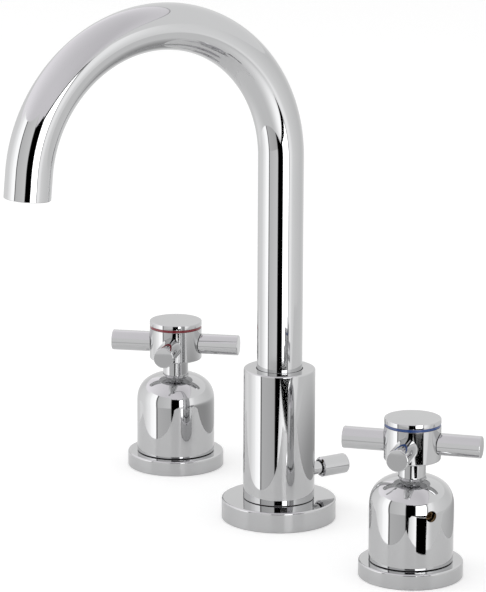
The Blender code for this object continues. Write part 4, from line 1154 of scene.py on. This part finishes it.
arm = turned([
    (0.0, -3.5),
    (1.8, -3.5, 0.3),
    (1.8, 3.8),
    (3.3, 3.8, 0.3),
    (3.3, 16.0, 0.3),
    (1.8, 16.0),
    (1.8, 23.0, 0.4),
    (0.0, 23.0),
], SMALL_SIDES)
fit(arm, "chrome", {"lift_arm": LIFT_PLACE})
knob = turned([
    (0.0, 23.6),
    (2.1, 23.6),
    (2.1, 16.3),
    (4.0, 16.3, 0.2),
    (4.0, 14.5, 0.1),
    (4.35, 14.5, 0.1),
    (5.1, 15.25, 0.2),
    (5.1, 29.9, 0.9),
    (0.0, 29.9),
])
fit(knob, "chrome", {"lift_knob": LIFT_PLACE})

# %% [markdown]
# The rod itself is plain steel. Its head starts as a cube at its size, its edges are bevelled, and
# the hole for the arm is cut through it.

# %% Rod with its head
HEAD_SIZE = Vector((7.0, 7.0, 8.4))
ROD_RADIUS = 2.0
ROD_LENGTH = 117.2
ARM_HOLE = 2.1


def rod_head():
    only()
    bpy.ops.mesh.primitive_cube_add(size=1.0, scale=[side * MM for side in HEAD_SIZE])
    bpy.ops.object.transform_apply()
    return apply_modifier(bpy.context.object, "BEVEL", width=0.6 * MM, segments=4, limit_method="ANGLE")


rod = turned([
    (0.0, -ROD_LENGTH),
    (ROD_RADIUS, -ROD_LENGTH, 0.7),
    (ROD_RADIUS, 0.0),
    (0.0, 0.0),
], SLIM_SIDES)
carved(rod, rod_head(), "UNION")
carved(rod, round_bar(ARM_HOLE, -5.0, 5.0, place=BACKWARD))
fit(rod, "steel", {"lift_rod": ROD_PLACE})

# %% [markdown]
# ## The bells
#
# A bell is the domed cover over each valve: a straight wall that flows into a squared-off dome,
# with a round hole on top for the handle's neck. A plain quarter circle is too soft for it; a
# superellipse with the power 2.5 has the photograph's tight shoulder. A bell is locked by a small
# screw in its side, and the hole for that screw is drilled through the wall at each bell's own
# angle.

# %% Bells
BELL_RADIUS = 20.5
BELL_WALL = 1.8
BELL_FOOT = 8.1
BELL_SHOULDER = 34.6
DOME_HEIGHT = 15.45
DOME_POWER = 2.5
NECK_HOLE = 6.72
SET_SCREW_HEIGHT = 34.8
SET_SCREW_HOLE = 2.75


def dome(radius, height, steps):
    """The dome from its shoulder to the neck hole."""
    last = math.acos((NECK_HOLE / radius) ** (DOME_POWER / 2))
    points = []
    for step in range(steps + 1):
        turn = last * step / steps
        across = radius * math.cos(turn) ** (2 / DOME_POWER)
        points.append((across, BELL_SHOULDER + height * math.sin(turn) ** (2 / DOME_POWER)))
    return points


def bell():
    """Down the dome's outer side, up its inner side, and round the collar that grips the body."""
    inner = BELL_RADIUS - BELL_WALL
    outline = dome(BELL_RADIUS, DOME_HEIGHT, 44) + dome(inner, DOME_HEIGHT - BELL_WALL, 12)[::-1]
    outline += [
        (inner, 14.3, 0.5),
        (VALVE_BORE, 14.3, 0.4),
        (VALVE_BORE, BELL_FOOT, 0.4),
        (BELL_RADIUS, BELL_FOOT, 0.35),
    ]
    return turned(outline, FINE_SIDES)


def aimed(turn_deg):
    """Lays a piece that was turned on Z along a valve's set screw."""
    return Matrix.Rotation(math.radians(turn_deg), 4, "Z") @ raised(SET_SCREW_HEIGHT) @ ALONG_X


for side in SIDES:
    drill = round_bar(SET_SCREW_HOLE, 12.0, 22.0, SMALL_SIDES, aimed(SCREW_DEG[side]))
    fit(carved(bell(), drill), "chrome", {f"{side}_bell": standing(side)})

# %% [markdown]
# The set screw has a hexagon socket. It sits just inside the wall, which is why the photograph
# shows only a dark hole with a brown glint in it. Its brass is painted dark to stand for the shade
# inside the hole, so it gets a finish of its own from the recipe of the machined metals.

# %% Set screws
SET_SCREW_RADIUS = 2.4
SET_SCREW_FACE = 17.6

set_screw = turned([
    (0.0, 13.8),
    (1.1, 13.8),
    (SET_SCREW_RADIUS, 14.9),
    (SET_SCREW_RADIUS, SET_SCREW_FACE, 0.25),
    (0.0, SET_SCREW_FACE),
], SMALL_SIDES)
carved(set_screw, hexagon_bar(1.5, 15.4, 19.0))
screw_places = {f"{side}_set_screw": standing(side) @ aimed(SCREW_DEG[side]) for side in SIDES}
fit(set_screw, "brass", screw_places)
# A dark brass whose colour paints the shade inside the screw hole.
shaded_brass = machined("shaded_brass", (0.22, 0.15, 0.08), (0.15, 0.10, 0.05), (0.08, 0.05, 0.03), 0.30)
for side in SIDES:
    bpy.data.objects[f"{side}_set_screw_piece"].data.materials[0] = shaded_brass

# %% [markdown]
# ## The cross handles
#
# The hub is a short drum on a slim neck that disappears into the bell. Its top is stepped: a
# coloured index ring and then the cap sit on it, and only the cap's rim and the ring's thin edge
# show. Four holes round it take the spokes.

# %% Hubs
HUB_RADIUS = 13.75
HUB_LOW = 58.2
HUB_TOP = 74.9
NECK_RADIUS = 6.6
NECK_LOW = 48.8
STEM_BORE = 4.65
RECESS_RADIUS = 9.5
SPOKES = 4
SPOKE_AXIS = raised(66.5) @ ALONG_X
TENON_HOLE = 2.8

hub = turned([
    (STEM_BORE, NECK_LOW, 0.2),
    (NECK_RADIUS, NECK_LOW, 0.4),
    (NECK_RADIUS, HUB_LOW, 0.15),
    (HUB_RADIUS, HUB_LOW, 0.7),
    (HUB_RADIUS, HUB_TOP, 0.12),
    (RECESS_RADIUS, HUB_TOP),
    (RECESS_RADIUS, 73.0),
    (4.3, 73.0),
    (4.3, 69.5),
    (2.1, 69.5),
    (2.1, 60.3),
    (STEM_BORE, 60.3),
], FINE_SIDES)
for number in range(SPOKES):
    turn = Matrix.Rotation(math.tau * number / SPOKES, 4, "Z")
    carved(hub, round_bar(TENON_HOLE, 8.4, 16.0, 32, turn @ SPOKE_AXIS))
fit(hub, "chrome", on_both("hub", SPOKE_DEG))

# %% [markdown]
# A spoke is a plain round bar. Where it meets the hub its end is coped, cut to the hub's round
# side, so the joint is a hairline. A slimmer tenon goes on into the hub.

# %% Spokes
SPOKE_RADIUS = 5.35
SPOKE_END = 33.9
TENON_RADIUS = 2.5
TENON_START = 8.75
COPE_RADIUS = 14.0

spoke = turned([(0.0, 9.0), (SPOKE_RADIUS, 9.0), (SPOKE_RADIUS, SPOKE_END, 0.5), (0.0, SPOKE_END)])
carved(laid(spoke, SPOKE_AXIS), round_bar(COPE_RADIUS, 50.0, 84.0, 256))
tenon = turned([
    (0.0, TENON_START),
    (TENON_RADIUS, TENON_START, 0.3),
    (TENON_RADIUS, 15.0),
    (0.0, 15.0),
], SLIM_SIDES)
joined(spoke, laid(tenon, SPOKE_AXIS))
spoke_places = {}
for side in SIDES:
    for number in range(SPOKES):
        turn_deg = SPOKE_DEG[side] + 360.0 * number / SPOKES
        spoke_places[f"{side}_spoke_{number + 1}"] = standing(side, turn_deg)
fit(spoke, "chrome", spoke_places)

# %% [markdown]
# The cap is a flat disc with a fine bevel and a plug that holds it in the hub. Below its rim lies
# the index ring, red on the hot side and blue on the cold one.

# %% Caps and index rings
CAP_LOW = 76.3
CAP_TOP = 78.7
PLUG_RADIUS = 9.2
RING_RADIUS = 13.62
RING_LOW = 74.95
RING_TOP = 76.25

cap = turned([
    (0.0, 73.3),
    (PLUG_RADIUS, 73.3, 0.3),
    (PLUG_RADIUS, CAP_LOW),
    (HUB_RADIUS, CAP_LOW, 0.12),
    (HUB_RADIUS, CAP_TOP, 0.4),
    (0.0, CAP_TOP),
], FINE_SIDES)
fit(cap, "chrome", on_both("cap"))
index_ring = turned([
    (RECESS_RADIUS, RING_LOW),
    (RING_RADIUS, RING_LOW, 0.1),
    (RING_RADIUS, RING_TOP, 0.1),
    (RECESS_RADIUS, RING_TOP),
], FINE_SIDES)
ring_finish = {"hot_index_ring": "hot_red", "cold_index_ring": "cold_blue"}
fit(index_ring, ring_finish, on_both("index_ring"))

# %% [markdown]
# ## Below the deck
#
# Three threaded stems go down through the deck, each held by a washer and a lock nut. The spout's
# shank ends in a tee that takes one hose from each valve. A valve body has its supply inlet below
# and its outlet to the side. These are bare brass, and their threads are what one sees first.

# %% Spout shank
SHANK_ROOT = 13.1
SHANK_CREST = 14.0
STEM_PITCH = 1.8

shank = turned([
    (4.0, -58.0, 0.5),
    (SHANK_ROOT, -58.0, 0.8),
    (SHANK_ROOT, -4.0),
    (SHANK_CREST, -3.0),
    (SHANK_CREST, 11.2),
    (15.7, 11.2, 0.3),
    (15.7, 15.2, 0.5),
    (5.6, 15.2, 0.5),
    (5.6, 47.3, 0.5),
    (10.6, 47.3, 0.6),
    (10.6, 66.0, 0.5),
    (8.0, 66.0, 0.5),
    (8.0, 50.0),
    (4.0, 50.0),
])
carved(shank, round_bar(2.3, -60.0, 17.0, place=shifted(0.0, ROD_SETBACK, 0.0)))
joined(shank, ridge(SHANK_ROOT, SHANK_CREST, -57.6, -3.4, STEM_PITCH))
fit(shank, "brass", {"spout_shank": CENTRE})

# %% [markdown]
# The tee is an upright barrel with two arms for the hoses. The Boolean welds the arms on before any
# bore is cut, and a thread is joined to the end of each. The short upright bore is cut before the
# long one, because the other order leaves edges that the solver doesn't close.

# %% Inlet tee
TEE_TOP = -58.3
TEE_BOTTOM = -82.3
TEE_AXIS = -73.4
TEE_ARMS = raised(TEE_AXIS) @ ALONG_X
HOSE_ROOT = 5.8
HOSE_CREST = 6.4
HOSE_BORE = 3.2
HOSE_PITCH = 1.25
HOSE_SIDES = 32

tee = turned([
    (0.0, TEE_BOTTOM),
    (7.2, TEE_BOTTOM, 1.2),
    (7.2, TEE_TOP, 0.5),
    (3.7, TEE_TOP),
    (3.7, TEE_TOP + 8.0, 0.3),
    (0.0, TEE_TOP + 8.0),
])
arms = turned([
    (0.0, -27.0),
    (HOSE_ROOT, -27.0, 0.6),
    (HOSE_ROOT, -9.0),
    (HOSE_CREST, -8.2, 0.3),
    (HOSE_CREST, 8.2, 0.3),
    (HOSE_ROOT, 9.0),
    (HOSE_ROOT, 27.0, 0.6),
    (0.0, 27.0),
], SMALL_SIDES)
carved(tee, laid(arms, TEE_ARMS), "UNION")
carved(tee, round_bar(2.5, TEE_AXIS, TEE_TOP + 10.0))
carved(tee, round_bar(HOSE_BORE, -30.0, 30.0, place=TEE_ARMS))
for start in (-26.6, 9.4):
    hose_thread = ridge(HOSE_ROOT, HOSE_CREST, start, start + 17.2, HOSE_PITCH, HOSE_SIDES)
    joined(tee, laid(hose_thread, TEE_ARMS))
fit(tee, "brass", {"inlet_tee": CENTRE})

# %% [markdown]
# The valve body is modelled for the hot side, with its outlet towards +X. Turned half round it
# serves the cold side too. The Boolean welds the outlet to the barrel before any bore is cut, and
# the ridges of the threads are joined last.

# %% Valve bodies
OUTLET_HEIGHT = -51.0
OUTLET_AXIS = raised(OUTLET_HEIGHT) @ ALONG_X
INLET_ROOT = 9.4
INLET_CREST = 10.2
BARREL_ROOT = 13.6
BARREL_CREST = 14.5

body = turned([
    (0.0, -78.0),
    (INLET_ROOT, -78.0, 0.7),
    (INLET_ROOT, -61.5),
    (INLET_CREST, -60.6),
    (INLET_CREST, -60.0),
    (BARREL_CREST, -60.0, 0.8),
    (BARREL_CREST, -44.0),
    (BARREL_ROOT, -43.0),
    (BARREL_ROOT, 15.0),
    (13.0, 16.0),
    (11.7, 16.0),
    (11.7, 30.0, 0.4),
    (10.4, 30.0, 0.3),
    (10.4, 8.0),
    (0.0, 8.0),
])
outlet = turned([
    (0.0, 6.0),
    (HOSE_CREST, 6.0),
    (HOSE_CREST, 17.0, 0.4),
    (HOSE_ROOT, 17.6),
    (HOSE_ROOT, 27.0, 0.6),
    (0.0, 27.0),
], SMALL_SIDES)
carved(body, laid(outlet, OUTLET_AXIS), "UNION")
carved(body, round_bar(4.0, -80.0, 10.0))
carved(body, round_bar(1.9, OUTLET_HEIGHT, 12.0, place=shifted(11.6, 0.0, 0.0)))
carved(body, round_bar(HOSE_BORE, 9.7, 30.0, place=OUTLET_AXIS))
joined(body, ridge(INLET_ROOT, INLET_CREST, -77.5, -61.6, STEM_PITCH))
joined(body, ridge(BARREL_ROOT, BARREL_CREST, -43.2, 15.2, STEM_PITCH))
joined(body, laid(ridge(HOSE_ROOT, HOSE_CREST, 17.8, 26.8, HOSE_PITCH, HOSE_SIDES), OUTLET_AXIS))
fit(body, "brass", on_both("valve_body", TOWARDS_SPOUT_DEG))

# %% [markdown]
# A lock nut is the overlap of two shapes: a hexagonal bar and a turned blank with a chamfered rim.
# Where the chamfer meets the flats it leaves the curved lines that every real nut has.

# %% Washers and lock nuts
WASHER_LOW = -31.8
WASHER_TOP = -30.0
NUT_LOW = -39.1
NUT_TOP = -32.1
NUT_SIDES = 120
BORE_CHAMFER = 0.6
RIM_CHAMFER = 1.4


def lock_nut(flat_radius, bore):
    corner = flat_radius / math.cos(math.pi / 6)
    blank = turned([
        (bore + BORE_CHAMFER, NUT_LOW),
        (flat_radius, NUT_LOW),
        (corner + 0.1, NUT_LOW + RIM_CHAMFER),
        (corner + 0.1, NUT_TOP - RIM_CHAMFER),
        (flat_radius, NUT_TOP),
        (bore + BORE_CHAMFER, NUT_TOP),
        (bore, NUT_TOP - BORE_CHAMFER),
        (bore, NUT_LOW + BORE_CHAMFER),
    ], NUT_SIDES)
    return carved(blank, hexagon_bar(flat_radius, NUT_LOW - 1.0, NUT_TOP + 1.0), "INTERSECT")


def washer(bore, outer):
    return turned([
        (bore, WASHER_LOW, 0.2),
        (outer, WASHER_LOW, 0.4),
        (outer, WASHER_TOP, 0.5),
        (bore, WASHER_TOP, 0.3),
    ])


fit(washer(SPOUT_BORE, 20.5), "steel", {"spout_washer": CENTRE})
fit(washer(VALVE_BORE, 21.0), "steel", on_both("washer"))
fit(lock_nut(18.0, SPOUT_BORE), "brass", {"spout_lock_nut": CENTRE})
fit(lock_nut(18.8, VALVE_BORE), "brass", on_both("lock_nut"))

# %% [markdown]
# ## Pieces that stay as they are
#
# The cartridge, its discs and seals, the spigot and the screws are enclosed, and their solids
# already have their working shape. They keep their CAD shape and get the finish of their slot.

# %% Finish the enclosed pieces
ENCLOSED = {
    "brass": ["spout_spigot"],
    "rubber": ["upper_o_ring", "lower_o_ring"],
    "steel": ["spout_snap_ring"],
    "ceramic": [],
}
ENCLOSED_IN_VALVES = {
    "brass": ("cartridge_housing", "gland_nut", "stem"),
    "rubber": ("seat_seal",),
    "steel": ("handle_screw",),
    "ceramic": ("fixed_disc", "moving_disc"),
}
for finish, kinds in ENCLOSED_IN_VALVES.items():
    ENCLOSED[finish] += [f"{side}_{kind}" for side in SIDES for kind in kinds]

for finish, nodes in ENCLOSED.items():
    for node in nodes:
        for material_slot in frame["nodes"][node].material_slots:
            material_slot.material = FINISH[finish]
print("enclosed pieces finished:", sum(map(len, ENCLOSED.values())))

# %% [markdown]
# ## Finish
#
# The dressed faucet has to keep to the box of the CAD model, give or take the facets of its round
# bars.

# %% Finish
only()
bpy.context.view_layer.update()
